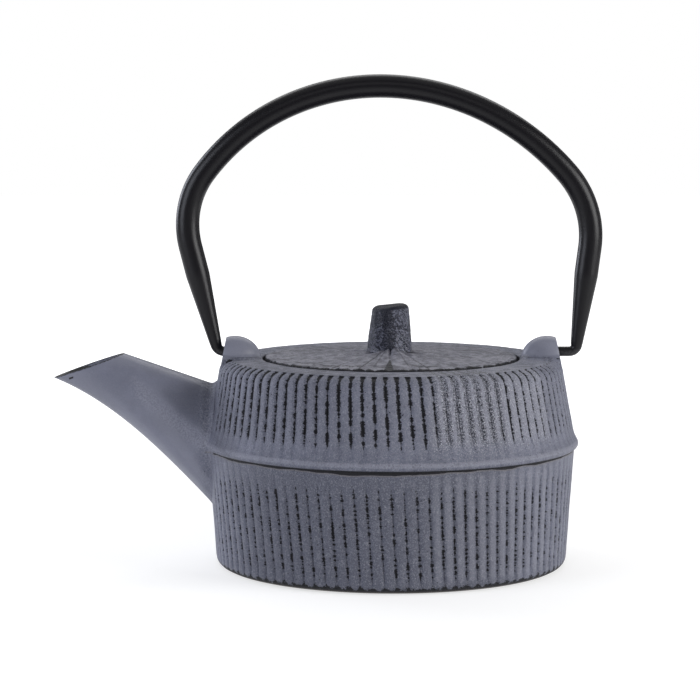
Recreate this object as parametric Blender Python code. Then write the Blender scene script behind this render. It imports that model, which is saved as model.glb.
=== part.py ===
"""Cast-iron teapot with a lift-out infuser basket, a loose lid and a swinging bail handle.

The origin is the centre of the pot's flat base, +Z is up and the spout points to -X.
Lengths are in metres; MM turns millimetres into metres.
"""

import math

import bmesh
import bpy
from mathutils import Vector

MM = 0.001

# Fits between pieces
CONTACT_GAP = 0.3 * MM
LID_CLEARANCE = 0.7 * MM
BASKET_CLEARANCE = 0.6 * MM
SKIRT_CLEARANCE = 0.7 * MM
HOOK_CLEARANCE = 0.6 * MM
SCREW_CLEARANCE = 0.3 * MM

# Lid and the seat it drops into
LID_RADIUS = 53.0 * MM
LID_THICKNESS = 4.4 * MM
LID_DOME = 1.3 * MM
LID_DOME_FALL = 0.325 * MM
LID_PROUD = 0.8 * MM
LID_EDGE_ROUNDING = 1.2 * MM
SEAT_WIDTH = 6.0 * MM
SKIRT_THICKNESS = 3.0 * MM
SKIRT_DEPTH = 6.0 * MM
LID_WEB = 4.1 * MM
BOSS_RADIUS = 9.0 * MM
BOSS_HEIGHT = 0.8 * MM
VENT_RADIUS = 1.5 * MM
VENT_OFFSET = 22.0 * MM

# Pot
POT_HEIGHT = 85.5 * MM
SEAM_HEIGHT = 50.2 * MM
UPPER_FLARE = 4.0 * MM
LOWER_TAPER = 3.4 * MM
LOWER_STEP_OUT = 0.4 * MM
LIP_REACH = 2.3 * MM
LIP_HALF_HEIGHT = 2.7 * MM
LIP_ROUNDING = 1.89 * MM
LIP_LOW_ANGLE = -70.0
LIP_HIGH_ANGLE = 50.0
BASE_ROUNDING = 3.8 * MM
SHOULDER_ROUNDING = 5.5 * MM
SHOULDER_LOW_ANGLE = 5.0
SHOULDER_FALL = 0.4 * MM
WALL = 3.0 * MM
FLOOR = 3.5 * MM
TOP_PLATE = 4.0 * MM
INNER_ROUNDING = 6.0 * MM

# Lugs that hold the handle
LUG_LENGTH = 16.2 * MM
LUG_HALF_WIDTH = 8.0 * MM
LUG_HEIGHT = 9.0 * MM
LUG_SUNK = 1.0 * MM
LUG_LEDGE = 1.5 * MM
LUG_GAP = 0.8 * MM
LUG_CREST = 11.0 * MM
LUG_LEAN = math.radians(10.0)
SOCKET_DEPTH = 10.0 * MM

# Spout
SPOUT_ROOT_LOW = 24.3 * MM
SPOUT_ROOT_FALL = 11.5 * MM
SPOUT_ROOT_TOP_OUT = 1.3 * MM
SPOUT_ROOT_LOW_OUT = 1.6 * MM
SPOUT_ROOT_HALF_WIDTH = 16.0 * MM
SPOUT_LENGTH = 65.0 * MM
SPOUT_RISE = 1.8 * MM
SPOUT_UNDER_SLOPE = math.radians(46.0)
SPOUT_TIP_SLOPE = math.radians(22.0)
SPOUT_UNDER_PULL = 0.35
SPOUT_TIP_PULL = 0.33
MOUTH_LENGTH = 31.2 * MM
MOUTH_TILT = math.radians(19.6)
MOUTH_HALF_WIDTH = 8.5 * MM
SPOUT_WALL = 2.6 * MM
SPOUT_START = -0.16
BORE_START = -0.26
BORE_RUN_OUT = 3.0 * MM

# Handle
HOOK_RISE = 2.5 * MM
HOOK_RADIUS = 1.8 * MM
HOOK_BEND = 3.2 * MM
HOOK_REACH = 5.1 * MM
HOOK_SHIFT = 2.4 * MM
HANDLE_RADIUS = 4.95 * MM
HANDLE_GAUGE = 1.0 * MM
HANDLE_SLIT = 0.8 * MM
HANDLE_HEIGHT = 111.7 * MM
HANDLE_CROWN_RADIUS = 98.0 * MM
HANDLE_CORNER_RADIUS = 38.0 * MM
ARM_SLOPE = math.radians(11.3)
ARM_FOOT_RADIUS = 2.5 * MM
ARM_TAPER = 32.0 * MM
HANDLE_LEAN = 0.0614

# Infuser basket
RIM_THICKNESS = 0.8 * MM
COLLAR_DEPTH = 9.0 * MM
BASKET_DEPTH = 50.0 * MM
MESH_THICKNESS = 0.6 * MM
SLEEVE_TUCK = 2.0 * MM
HOOP_HEIGHT = 6.0 * MM
HOOP_LEDGE = 5.0 * MM

# Knob and its fastening
KNOB_HEIGHT = 20.4 * MM
KNOB_BASE_RADIUS = 8.6 * MM
KNOB_TOP_RADIUS = 7.5 * MM
KNOB_FLARE = 2.6 * MM
KNOB_WAIST_FLARE = 0.78 * MM
KNOB_WAIST_HEIGHT = 1.3 * MM
KNOB_FLARE_HEIGHT = 3.9 * MM
KNOB_ROUNDING = 1.6 * MM
KNOB_CROWN_ANGLE = 80.0
SCREW_RADIUS = 2.0 * MM
SCREW_HEAD_RADIUS = 3.8 * MM
SCREW_HEAD_HEIGHT = 2.6 * MM
SCREW_HEAD_BEVEL = 0.78 * MM
SCREW_TIP_RADIUS = 1.2 * MM
SCREW_TIP_LENGTH = 0.8 * MM
SCREW_SLOT_WIDTH = 1.0 * MM
SCREW_SLOT_DEPTH = 1.2 * MM
THREAD_DEPTH = 9.0 * MM
WASHER_RADIUS = 4.8 * MM
WASHER_THICKNESS = 0.8 * MM

# Facets
TURNED_STEPS = 64
SMALL_STEPS = 24
SOCKET_SIDES = 16
SPOUT_SIDES = 28
SPOUT_RINGS = 12
TUBE_SIDES = 10
LUG_SEGMENTS = 24
LUG_RINGS = 16
KNOB_SIDES = 32
VENT_SIDES = 12
ARC_STEPS = 4
SHOULDER_STEPS = 5
EDGE_STEPS = 3
CROWN_STEPS = 7
CORNER_STEPS = 6
ARM_STEPS = 4
BEND_STEPS = 4
SHARP_ANGLE = math.radians(35.0)

# Radii and heights that follow from the sizes above
REBATE_RADIUS = LID_RADIUS + LID_CLEARANCE
MOUTH_RADIUS = LID_RADIUS - SEAT_WIDTH
LUG_FACE_FOOT = REBATE_RADIUS + LUG_GAP + LUG_LENGTH
SHOULDER_RADIUS = LUG_FACE_FOOT + LUG_LEDGE
UPPER_FOOT_RADIUS = SHOULDER_RADIUS + UPPER_FLARE
LIP_RADIUS = UPPER_FOOT_RADIUS + LIP_REACH
LOWER_TOP_RADIUS = UPPER_FOOT_RADIUS + LOWER_STEP_OUT
BASE_RADIUS = LOWER_TOP_RADIUS - LOWER_TAPER
SEAT_HEIGHT = POT_HEIGHT + LID_PROUD - LID_THICKNESS - RIM_THICKNESS - 2.0 * CONTACT_GAP
LID_HEIGHT = SEAT_HEIGHT + RIM_THICKNESS + 2.0 * CONTACT_GAP
HOOK_HEIGHT = POT_HEIGHT + HOOK_RISE
LUG_FACE_HOOK = LUG_FACE_FOOT - (HOOK_HEIGHT - POT_HEIGHT) * math.tan(LUG_LEAN)
SOCKET_RADIUS = HOOK_RADIUS + HOOK_CLEARANCE
COLLAR_RADIUS = MOUTH_RADIUS - BASKET_CLEARANCE
SLEEVE_RADIUS = COLLAR_RADIUS - RIM_THICKNESS - CONTACT_GAP
HOOP_RADIUS = SLEEVE_RADIUS + CONTACT_GAP + RIM_THICKNESS
SKIRT_RADIUS = SLEEVE_RADIUS - MESH_THICKNESS - SKIRT_CLEARANCE


def clear_scene():
    for old in list(bpy.data.objects):
        bpy.data.objects.remove(old, do_unlink=True)


def finish_material(name, color, metallic, roughness):
    """A Principled material."""
    material = bpy.data.materials.new(name)
    material.use_nodes = True
    shader = material.node_tree.nodes["Principled BSDF"]
    shader.inputs["Base Color"].default_value = (*color, 1.0)
    shader.inputs["Metallic"].default_value = metallic
    shader.inputs["Roughness"].default_value = roughness
    material.diffuse_color = (*color, 1.0)
    return material


def add_object(name, bm, material=None, parent=None):
    """Turn a bmesh into a linked object with its faces pointing out and its round parts smooth."""
    bmesh.ops.remove_doubles(bm, verts=bm.verts, dist=1e-7)
    bmesh.ops.recalc_face_normals(bm, faces=bm.faces)
    mesh = bpy.data.meshes.new(name)
    bm.to_mesh(mesh)
    bm.free()
    mesh.shade_smooth()
    mesh.set_sharp_from_angle(angle=SHARP_ANGLE)
    if material:
        mesh.materials.append(material)
    piece = bpy.data.objects.new(name, mesh)
    bpy.context.collection.objects.link(piece)
    piece.parent = parent
    return piece


def add_axis(name, location):
    """An empty that carries the pieces of one moving body."""
    axis = bpy.data.objects.new(name, None)
    axis.location = location
    bpy.context.collection.objects.link(axis)
    return axis


def arc(center_r, center_z, radius, start, end, steps):
    """Points of an arc in the (r, z) half plane; angles in degrees from +r."""
    points = []
    for step in range(steps + 1):
        angle = math.radians(start + (end - start) * step / steps)
        points.append((center_r + radius * math.cos(angle), center_z + radius * math.sin(angle)))
    return points


def turned(name, outline, material=None, parent=None, steps=TURNED_STEPS, closed=True):
    """Turn an (r, z) outline about the Z axis; an open outline starts and ends on the axis."""
    bm = bmesh.new()
    corners = [bm.verts.new((r, 0.0, z)) for r, z in outline]
    pairs = list(zip(corners, corners[1:]))
    if closed:
        pairs.append((corners[-1], corners[0]))
    edges = [bm.edges.new(pair) for pair in pairs]
    bmesh.ops.spin(
        bm, geom=corners + edges, axis=(0.0, 0.0, 1.0), cent=(0.0, 0.0, 0.0),
        steps=steps, angle=math.tau, use_merge=True,
    )
    return add_object(name, bm, material, parent)


def lofted(name, rings, material=None, parent=None):
    """Skin a row of equal rings and close both ends."""
    bm = bmesh.new()
    loops = [[bm.verts.new(point) for point in ring] for ring in rings]
    for near, far in zip(loops, loops[1:]):
        for index in range(len(near)):
            after = (index + 1) % len(near)
            bm.faces.new((near[index], near[after], far[after], far[index]))
    bm.faces.new(loops[0])
    bm.faces.new(list(reversed(loops[-1])))
    return add_object(name, bm, material, parent)


def rod_along_x(name, center, radius, length, sides):
    """A round cutter lying along X."""
    bm = bmesh.new()
    bmesh.ops.create_cone(
        bm, cap_ends=True, segments=sides, radius1=radius, radius2=radius, depth=length,
    )
    cutter = add_object(name, bm)
    cutter.location = center
    cutter.rotation_euler = (0.0, math.pi / 2.0, 0.0)
    return cutter


def combine(piece, other, operation):
    """Add or cut another solid and hide it as a guide."""
    modifier = piece.modifiers.new(other.name, "BOOLEAN")
    modifier.operation = operation
    modifier.object = other
    modifier.solver = "EXACT"
    other.hide_render = True
    other.display_type = "WIRE"


# ---------------------------------------------------------------- pot


def pot_outline():
    """Outside of the pot from the middle of the base to the middle of the top."""
    base_arc = arc(BASE_RADIUS - BASE_ROUNDING, BASE_ROUNDING, BASE_ROUNDING, -90.0, 0.0, ARC_STEPS)
    lip_low = SEAM_HEIGHT - LIP_HALF_HEIGHT
    lip_high = SEAM_HEIGHT + LIP_HALF_HEIGHT
    lip_arc = arc(
        LIP_RADIUS - LIP_ROUNDING, SEAM_HEIGHT, LIP_ROUNDING, LIP_LOW_ANGLE, LIP_HIGH_ANGLE, ARC_STEPS,
    )
    round_center = SHOULDER_RADIUS - SHOULDER_ROUNDING
    round_height = POT_HEIGHT - SHOULDER_FALL - SHOULDER_ROUNDING
    shoulder_arc = arc(round_center, round_height, SHOULDER_ROUNDING, SHOULDER_LOW_ANGLE, 90.0, SHOULDER_STEPS)
    return [
        (0.0, 0.0),
        *base_arc,
        (LOWER_TOP_RADIUS, lip_low),
        *lip_arc,
        (UPPER_FOOT_RADIUS, lip_high + LIP_HALF_HEIGHT),
        *shoulder_arc,
        (REBATE_RADIUS, POT_HEIGHT),
        (0.0, POT_HEIGHT),
    ]


def cavity_outline():
    """Inside of the pot, its mouth and the seat, from the floor's middle up through the top."""
    floor_radius = BASE_RADIUS - WALL
    ceiling = SEAT_HEIGHT - TOP_PLATE
    upper_radius = SHOULDER_RADIUS - WALL
    floor_arc = arc(floor_radius - INNER_ROUNDING, FLOOR + INNER_ROUNDING, INNER_ROUNDING, -90.0, 0.0, ARC_STEPS)
    ceiling_arc = arc(
        upper_radius - INNER_ROUNDING, ceiling - INNER_ROUNDING, INNER_ROUNDING, 0.0, 90.0, ARC_STEPS,
    )
    above = POT_HEIGHT + LUG_HEIGHT
    return [
        (0.0, FLOOR),
        *floor_arc,
        (LOWER_TOP_RADIUS - WALL, SEAM_HEIGHT),
        *ceiling_arc,
        (MOUTH_RADIUS, ceiling),
        (MOUTH_RADIUS, SEAT_HEIGHT),
        (REBATE_RADIUS, SEAT_HEIGHT),
        (REBATE_RADIUS, above),
        (0.0, above),
    ]


def spout_frame():
    """The four points that the spout's side outline hangs on, as (x, z)."""
    root_top = Vector((-(SHOULDER_RADIUS + SPOUT_ROOT_TOP_OUT), POT_HEIGHT - SPOUT_ROOT_FALL))
    root_under = Vector((-(BASE_RADIUS + SPOUT_ROOT_LOW_OUT), SPOUT_ROOT_LOW))
    tip = Vector((-(LOWER_TOP_RADIUS + SPOUT_LENGTH), 0.0))
    tip.y = POT_HEIGHT + SPOUT_RISE - MOUTH_LENGTH * math.sin(MOUTH_TILT)
    along_mouth = Vector((math.cos(MOUTH_TILT), math.sin(MOUTH_TILT)))
    return root_top, root_under, tip, tip + along_mouth * MOUTH_LENGTH


def spout_edges(share):
    """Top and under points of the spout's outline, share 0 at the pot and 1 at the mouth."""
    root_top, root_under, tip, mouth_top = spout_frame()
    span = (tip - root_under).length
    leaving = Vector((-math.cos(SPOUT_UNDER_SLOPE), math.sin(SPOUT_UNDER_SLOPE)))
    arriving = Vector((math.cos(SPOUT_TIP_SLOPE), -math.sin(SPOUT_TIP_SLOPE)))
    first = root_under + leaving * span * SPOUT_UNDER_PULL
    second = tip + arriving * span * SPOUT_TIP_PULL
    rest = 1.0 - share
    under = (
        root_under * rest**3 + first * 3.0 * rest**2 * share
        + second * 3.0 * rest * share**2 + tip * share**3
    )
    return root_top.lerp(mouth_top, share), under


def spout_ring(share, inset, run_out=0.0):
    """One oval ring of the spout, drawn in by inset and moved run_out along the mouth's normal."""
    top, under = spout_edges(share)
    upward = (top - under).normalized()
    middle = (top + under) / 2.0 + Vector((-upward.y, upward.x)) * run_out
    half_height = (top - under).length / 2.0 - inset
    half_width = SPOUT_ROOT_HALF_WIDTH + (MOUTH_HALF_WIDTH - SPOUT_ROOT_HALF_WIDTH) * share - inset
    ring = []
    for side in range(SPOUT_SIDES):
        angle = math.tau * side / SPOUT_SIDES
        place = middle + upward * half_height * math.cos(angle)
        ring.append((place.x, half_width * math.sin(angle), place.y))
    return ring


def spout_solid(name, inset, start, run_out):
    """The spout, or with an inset its bore; it starts inside the pot and may run out past the mouth."""
    rings = []
    for step in range(SPOUT_RINGS + 1):
        rings.append(spout_ring(start + (1.0 - start) * step / SPOUT_RINGS, inset))
    if run_out:
        rings.append(spout_ring(1.0, inset, run_out))
    return lofted(name, rings)


def lug_solid(name, side):
    """Half-dome lug on the shoulder at +X or -X, its flat face leaning in and facing outwards."""
    bm = bmesh.new()
    bmesh.ops.create_uvsphere(bm, u_segments=LUG_SEGMENTS, v_segments=LUG_RINGS, radius=1.0)
    height = LUG_HEIGHT + LUG_SUNK
    bmesh.ops.scale(bm, vec=(LUG_CREST, LUG_HALF_WIDTH, height), verts=bm.verts)
    center = (REBATE_RADIUS + LUG_GAP + LUG_CREST, 0.0, POT_HEIGHT - LUG_SUNK)
    bmesh.ops.translate(bm, vec=center, verts=bm.verts)
    bmesh.ops.bisect_plane(
        bm, geom=bm.verts[:] + bm.edges[:] + bm.faces[:],
        plane_co=(LUG_FACE_FOOT, 0.0, POT_HEIGHT),
        plane_no=(math.cos(LUG_LEAN), 0.0, math.sin(LUG_LEAN)),
        clear_outer=True,
    )
    rim = [edge for edge in bm.edges if edge.is_boundary]
    bmesh.ops.contextual_create(bm, geom=rim)
    if side < 0.0:
        bmesh.ops.scale(bm, vec=(-1.0, 1.0, 1.0), verts=bm.verts)
    return add_object(name, bm)


def make_pot(material):
    pot = turned("pot_body", pot_outline(), material, closed=False)
    for name, side in (("lug_right_form", 1.0), ("lug_left_form", -1.0)):
        combine(pot, lug_solid(name, side), "UNION")
    for name, side in (("socket_right_form", 1.0), ("socket_left_form", -1.0)):
        center = (side * LUG_FACE_HOOK, 0.0, HOOK_HEIGHT)
        combine(pot, rod_along_x(name, center, SOCKET_RADIUS, 2.0 * SOCKET_DEPTH, SOCKET_SIDES), "DIFFERENCE")
    combine(pot, spout_solid("spout_form", 0.0, SPOUT_START, 0.0), "UNION")
    combine(pot, turned("cavity_form", cavity_outline(), closed=False), "DIFFERENCE")
    combine(pot, spout_solid("bore_form", SPOUT_WALL, BORE_START, BORE_RUN_OUT), "DIFFERENCE")
    return pot


# ---------------------------------------------------------------- handle


def crown_turn():
    """Angle from the top at which the handle's crown arc passes into its corner arc."""
    foot = LUG_FACE_HOOK + HOOK_REACH
    slope = math.tan(ARM_SLOPE)
    offset = foot - HANDLE_CORNER_RADIUS * math.cos(ARM_SLOPE)
    drop = HANDLE_HEIGHT - HANDLE_CROWN_RADIUS - HANDLE_CORNER_RADIUS * math.sin(ARM_SLOPE)
    share = (offset + slope * drop) / (HANDLE_CROWN_RADIUS - HANDLE_CORNER_RADIUS)
    return ARM_SLOPE + math.asin(share * math.cos(ARM_SLOPE))


def half_path():
    """Right half of the handle's middle line from the crown down to the hook's end.

    Each point is (x, z, nx, nz): a place from the hinge line and the direction to the inside.
    """
    turn = crown_turn()
    crown_center = (0.0, HANDLE_HEIGHT - HANDLE_CROWN_RADIUS)
    reach = HANDLE_CROWN_RADIUS - HANDLE_CORNER_RADIUS
    corner_center = (reach * math.sin(turn), crown_center[1] + reach * math.cos(turn))
    points = []
    for step in range(CROWN_STEPS):
        angle = turn * step / CROWN_STEPS
        points.append((*crown_center, HANDLE_CROWN_RADIUS, angle))
    arm_angle = math.pi / 2.0 + ARM_SLOPE
    for step in range(CORNER_STEPS + 1):
        angle = turn + (arm_angle - turn) * step / CORNER_STEPS
        points.append((*corner_center, HANDLE_CORNER_RADIUS, angle))
    path = []
    for center_x, center_z, radius, angle in points:
        x = center_x + radius * math.sin(angle)
        z = center_z + radius * math.cos(angle)
        path.append((x, z, -math.sin(angle), -math.cos(angle)))
    arm_x, arm_z = path[-1][:2]
    bend_top = HOOK_BEND * (1.0 - math.sin(ARM_SLOPE))
    inward = (-math.cos(ARM_SLOPE), math.sin(ARM_SLOPE))
    for step in range(1, ARM_STEPS + 1):
        height = arm_z + (bend_top - arm_z) * step / ARM_STEPS
        path.append((arm_x - (arm_z - height) * math.tan(ARM_SLOPE), height, *inward))
    foot_x = path[-1][0]
    center_x = foot_x - HOOK_BEND * math.cos(ARM_SLOPE)
    for step in range(1, BEND_STEPS + 1):
        angle = arm_angle + (math.pi - arm_angle) * step / BEND_STEPS
        x = center_x + HOOK_BEND * math.sin(angle)
        z = HOOK_BEND + HOOK_BEND * math.cos(angle)
        path.append((x, z, -math.sin(angle), -math.cos(angle)))
    return path


def tube_radius(height):
    """Outside radius of the handle at a height over the hinge line."""
    if height >= ARM_TAPER:
        return HANDLE_RADIUS
    if height >= HOOK_BEND:
        share = (height - HOOK_BEND) / (ARM_TAPER - HOOK_BEND)
        return ARM_FOOT_RADIUS + (HANDLE_RADIUS - ARM_FOOT_RADIUS) * share
    return HOOK_RADIUS + (ARM_FOOT_RADIUS - HOOK_RADIUS) * max(height, 0.0) / HOOK_BEND


def split_ring(x, z, inward, radius):
    """A rolled section: outer arc and inner arc, open towards the inside of the handle."""
    ring = []
    half_slit = HANDLE_SLIT / 2.0
    for shell, order in ((radius, 1), (radius - HANDLE_GAUGE, -1)):
        start = math.asin(half_slit / shell)
        for side in range(TUBE_SIDES)[::order]:
            angle = start + (math.tau - 2.0 * start) * side / (TUBE_SIDES - 1)
            along = shell * math.cos(angle)
            across = shell * math.sin(angle)
            ring.append((x + inward[0] * along, across, z + inward[1] * along))
    return ring


def make_handle(material, axis):
    """One rolled tube whose tapered ends are bent in as hooks."""
    right = half_path()
    stations = [(-x, z, -nx, nz) for x, z, nx, nz in reversed(right[1:])] + right
    hook_end = LUG_FACE_HOOK - SOCKET_DEPTH + 3.0 * CONTACT_GAP
    rings = [split_ring(-hook_end, 0.0, (0.0, 1.0), HOOK_RADIUS)]
    for x, z, nx, nz in stations:
        leaned = x + HOOK_SHIFT - HANDLE_LEAN * z
        rings.append(split_ring(leaned, z, (nx, nz), tube_radius(z)))
    rings.append(split_ring(hook_end, 0.0, (0.0, 1.0), HOOK_RADIUS))
    return lofted("handle", rings, material, axis)


# ---------------------------------------------------------------- infuser


def make_rim(material, axis):
    """Pressed rim: a flat flange on the pot's seat with a collar hanging into the mouth."""
    low = CONTACT_GAP
    high = low + RIM_THICKNESS
    inner = COLLAR_RADIUS - RIM_THICKNESS
    outer = LID_RADIUS
    outline = [
        (outer, high),
        (outer, low),
        (COLLAR_RADIUS, low),
        (COLLAR_RADIUS, -COLLAR_DEPTH),
        (inner, -COLLAR_DEPTH),
        (inner, low),
        (inner + RIM_THICKNESS, high),
    ]
    return turned("infuser_rim", outline, material, axis)


def make_sleeve(material, axis):
    """Perforated side wall of the basket."""
    low = -BASKET_DEPTH + RIM_THICKNESS + CONTACT_GAP
    inner = SLEEVE_RADIUS - MESH_THICKNESS
    outline = [(SLEEVE_RADIUS, -SLEEVE_TUCK), (SLEEVE_RADIUS, low), (inner, low), (inner, -SLEEVE_TUCK)]
    return turned("infuser_sleeve", outline, material, axis)


def make_hoop(material, axis):
    """Bottom hoop: it closes round the sleeve's foot and carries the base mesh on its ledge."""
    low = -BASKET_DEPTH
    ledge = low + RIM_THICKNESS
    inner = SLEEVE_RADIUS + CONTACT_GAP
    outline = [
        (HOOP_RADIUS, low + HOOP_HEIGHT),
        (HOOP_RADIUS, low),
        (SLEEVE_RADIUS - HOOP_LEDGE, low),
        (SLEEVE_RADIUS - HOOP_LEDGE, ledge),
        (inner, ledge),
        (inner, low + HOOP_HEIGHT),
    ]
    return turned("infuser_base_ring", outline, material, axis)


def make_base_mesh(material, axis):
    """Perforated disc lying on the hoop's ledge inside the sleeve."""
    low = -BASKET_DEPTH + RIM_THICKNESS + CONTACT_GAP
    radius = SLEEVE_RADIUS - MESH_THICKNESS - CONTACT_GAP
    outline = [(0.0, low), (radius, low), (radius, low + MESH_THICKNESS), (0.0, low + MESH_THICKNESS)]
    return turned("infuser_base_mesh", outline, material, axis, closed=False)


def make_seam(material, axis):
    """Strip that closes the sleeve, one facet wide, on the side away from the spout."""
    inner = SLEEVE_RADIUS + CONTACT_GAP
    outer = inner + MESH_THICKNESS
    low = -BASKET_DEPTH + HOOP_HEIGHT + CONTACT_GAP
    high = -COLLAR_DEPTH - CONTACT_GAP
    facet = math.tau / TURNED_STEPS
    rings = []
    for height in (low, high):
        ring = []
        for radius, angle in ((inner, 0.0), (outer, 0.0), (outer, facet), (inner, facet)):
            ring.append((radius * math.cos(angle), radius * math.sin(angle), height))
        rings.append(ring)
    return lofted("infuser_seam", rings, material, axis)


# ---------------------------------------------------------------- lid and knob


def make_lid(material, axis):
    """Cast lid: flat seat, low dome, skirt inside the basket and a boss under the knob."""
    hole = SCREW_RADIUS + SCREW_CLEARANCE
    top = LID_THICKNESS
    crown = LID_THICKNESS + LID_DOME
    web = crown - LID_WEB
    skirt_inner = SKIRT_RADIUS - SKIRT_THICKNESS
    edge_arc = arc(
        LID_RADIUS - LID_EDGE_ROUNDING, top - LID_EDGE_ROUNDING, LID_EDGE_ROUNDING, 90.0, 0.0, EDGE_STEPS,
    )
    outline = [
        (hole, crown),
        (LID_RADIUS / 2.0, crown - LID_DOME_FALL),
        *edge_arc,
        (LID_RADIUS, 0.0),
        (SKIRT_RADIUS, 0.0),
        (SKIRT_RADIUS, -SKIRT_DEPTH),
        (skirt_inner, -SKIRT_DEPTH),
        (skirt_inner, web),
        (BOSS_RADIUS, web),
        (BOSS_RADIUS, web - BOSS_HEIGHT),
        (hole, web - BOSS_HEIGHT),
    ]
    lid = turned("lid", outline, material, axis)
    bm = bmesh.new()
    bmesh.ops.create_cone(
        bm, cap_ends=True, segments=VENT_SIDES,
        radius1=VENT_RADIUS, radius2=VENT_RADIUS, depth=4.0 * LID_THICKNESS,
    )
    vent = add_object("vent_form", bm, parent=axis)
    vent.location = (0.0, VENT_OFFSET, 0.0)
    combine(lid, vent, "DIFFERENCE")
    return lid


def make_knob(material, axis):
    """Tapered post with a flared foot and a blind hole for the screw."""
    foot = LID_THICKNESS + LID_DOME + CONTACT_GAP
    top = foot + KNOB_HEIGHT
    hole = SCREW_RADIUS + SCREW_CLEARANCE
    depth = THREAD_DEPTH + CONTACT_GAP
    crown_arc = arc(
        KNOB_TOP_RADIUS - KNOB_ROUNDING, top - KNOB_ROUNDING, KNOB_ROUNDING, 0.0, KNOB_CROWN_ANGLE, EDGE_STEPS,
    )
    outline = [
        (hole, foot),
        (KNOB_BASE_RADIUS + KNOB_FLARE, foot),
        (KNOB_BASE_RADIUS + KNOB_WAIST_FLARE, foot + KNOB_WAIST_HEIGHT),
        (KNOB_BASE_RADIUS, foot + KNOB_FLARE_HEIGHT),
        *crown_arc,
        (0.0, top),
        (0.0, foot + depth),
        (hole, foot + depth),
    ]
    return turned("lid_knob", outline, material, axis, steps=KNOB_SIDES)


def make_screw(material, axis):
    """Pan-head screw that holds the knob from under the lid."""
    crown = LID_THICKNESS + LID_DOME
    seat = crown - LID_WEB - BOSS_HEIGHT - WASHER_THICKNESS - 2.0 * CONTACT_GAP
    tip = crown + CONTACT_GAP + THREAD_DEPTH
    low = seat - SCREW_HEAD_HEIGHT
    outline = [
        (0.0, low),
        (SCREW_HEAD_RADIUS - SCREW_HEAD_BEVEL, low),
        (SCREW_HEAD_RADIUS, low + SCREW_HEAD_BEVEL),
        (SCREW_HEAD_RADIUS, seat),
        (SCREW_RADIUS, seat),
        (SCREW_RADIUS, tip - SCREW_TIP_LENGTH),
        (SCREW_TIP_RADIUS, tip),
        (0.0, tip),
    ]
    screw = turned("knob_screw", outline, material, axis, steps=SMALL_STEPS, closed=False)
    bm = bmesh.new()
    bmesh.ops.create_cube(bm, size=1.0)
    size = (4.0 * SCREW_HEAD_RADIUS, SCREW_SLOT_WIDTH, 2.0 * SCREW_SLOT_DEPTH)
    bmesh.ops.scale(bm, vec=size, verts=bm.verts)
    slot = add_object("screw_slot_form", bm, parent=axis)
    slot.location = (0.0, 0.0, low)
    combine(screw, slot, "DIFFERENCE")
    return screw


def make_washer(material, axis):
    """Washer between the screw's head and the lid's boss."""
    top = LID_THICKNESS + LID_DOME - LID_WEB - BOSS_HEIGHT - CONTACT_GAP
    low = top - WASHER_THICKNESS
    hole = SCREW_RADIUS + SCREW_CLEARANCE
    outline = [(WASHER_RADIUS, top), (WASHER_RADIUS, low), (hole, low), (hole, top)]
    return turned("knob_washer", outline, material, axis, steps=SMALL_STEPS)


def main():
    clear_scene()
    iron = finish_material("slate_paint", (0.10, 0.105, 0.145), 0.1, 0.55)
    lid_iron = finish_material("slate_paint_lid", (0.16, 0.165, 0.20), 0.1, 0.6)
    knob_iron = finish_material("brushed_black_knob", (0.05, 0.055, 0.08), 0.2, 0.5)
    black = finish_material("black_satin_steel", (0.012, 0.011, 0.015), 0.3, 0.35)
    steel = finish_material("stainless_steel", (0.62, 0.62, 0.61), 1.0, 0.28)
    zinc = finish_material("zinc_plate", (0.52, 0.53, 0.55), 1.0, 0.35)

    handle_axis = add_axis("handle_axis", (0.0, 0.0, HOOK_HEIGHT))
    infuser_axis = add_axis("infuser_axis", (0.0, 0.0, SEAT_HEIGHT))
    lid_axis = add_axis("lid_axis", (0.0, 0.0, LID_HEIGHT))

    make_pot(iron)
    make_handle(black, handle_axis)
    make_rim(steel, infuser_axis)
    make_sleeve(steel, infuser_axis)
    make_hoop(steel, infuser_axis)
    make_base_mesh(steel, infuser_axis)
    make_seam(steel, infuser_axis)
    make_lid(lid_iron, lid_axis)
    make_knob(knob_iron, lid_axis)
    make_screw(zinc, lid_axis)
    make_washer(zinc, lid_axis)
    bpy.context.view_layer.update()


main()
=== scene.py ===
"""Finished look of a cast-iron teapot with its infuser basket, lid and bail handle.

Laid out as an add-on: one settings group per piece, one operator per piece, one panel.
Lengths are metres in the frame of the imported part; MM turns millimetres into metres.
"""

import math
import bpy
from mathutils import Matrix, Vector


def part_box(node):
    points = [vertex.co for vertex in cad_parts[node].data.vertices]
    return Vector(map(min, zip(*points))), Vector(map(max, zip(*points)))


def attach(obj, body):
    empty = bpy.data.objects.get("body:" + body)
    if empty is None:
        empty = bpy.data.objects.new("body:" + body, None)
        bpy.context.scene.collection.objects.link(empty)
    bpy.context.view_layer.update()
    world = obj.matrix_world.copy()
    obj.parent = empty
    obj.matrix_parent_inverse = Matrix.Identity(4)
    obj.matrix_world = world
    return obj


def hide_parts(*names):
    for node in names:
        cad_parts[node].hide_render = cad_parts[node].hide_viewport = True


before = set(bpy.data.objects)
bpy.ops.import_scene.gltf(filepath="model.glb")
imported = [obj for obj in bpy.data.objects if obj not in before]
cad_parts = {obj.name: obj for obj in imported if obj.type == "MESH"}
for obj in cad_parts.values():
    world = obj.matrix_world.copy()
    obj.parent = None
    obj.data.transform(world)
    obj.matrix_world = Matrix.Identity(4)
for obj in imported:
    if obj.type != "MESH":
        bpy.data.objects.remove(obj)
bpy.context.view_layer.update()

from types import SimpleNamespace

import bmesh
import bpy
import numpy as np
from bpy.props import FloatProperty, FloatVectorProperty, IntProperty, PointerProperty
from mathutils import Vector
from mathutils.bvhtree import BVHTree

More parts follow.
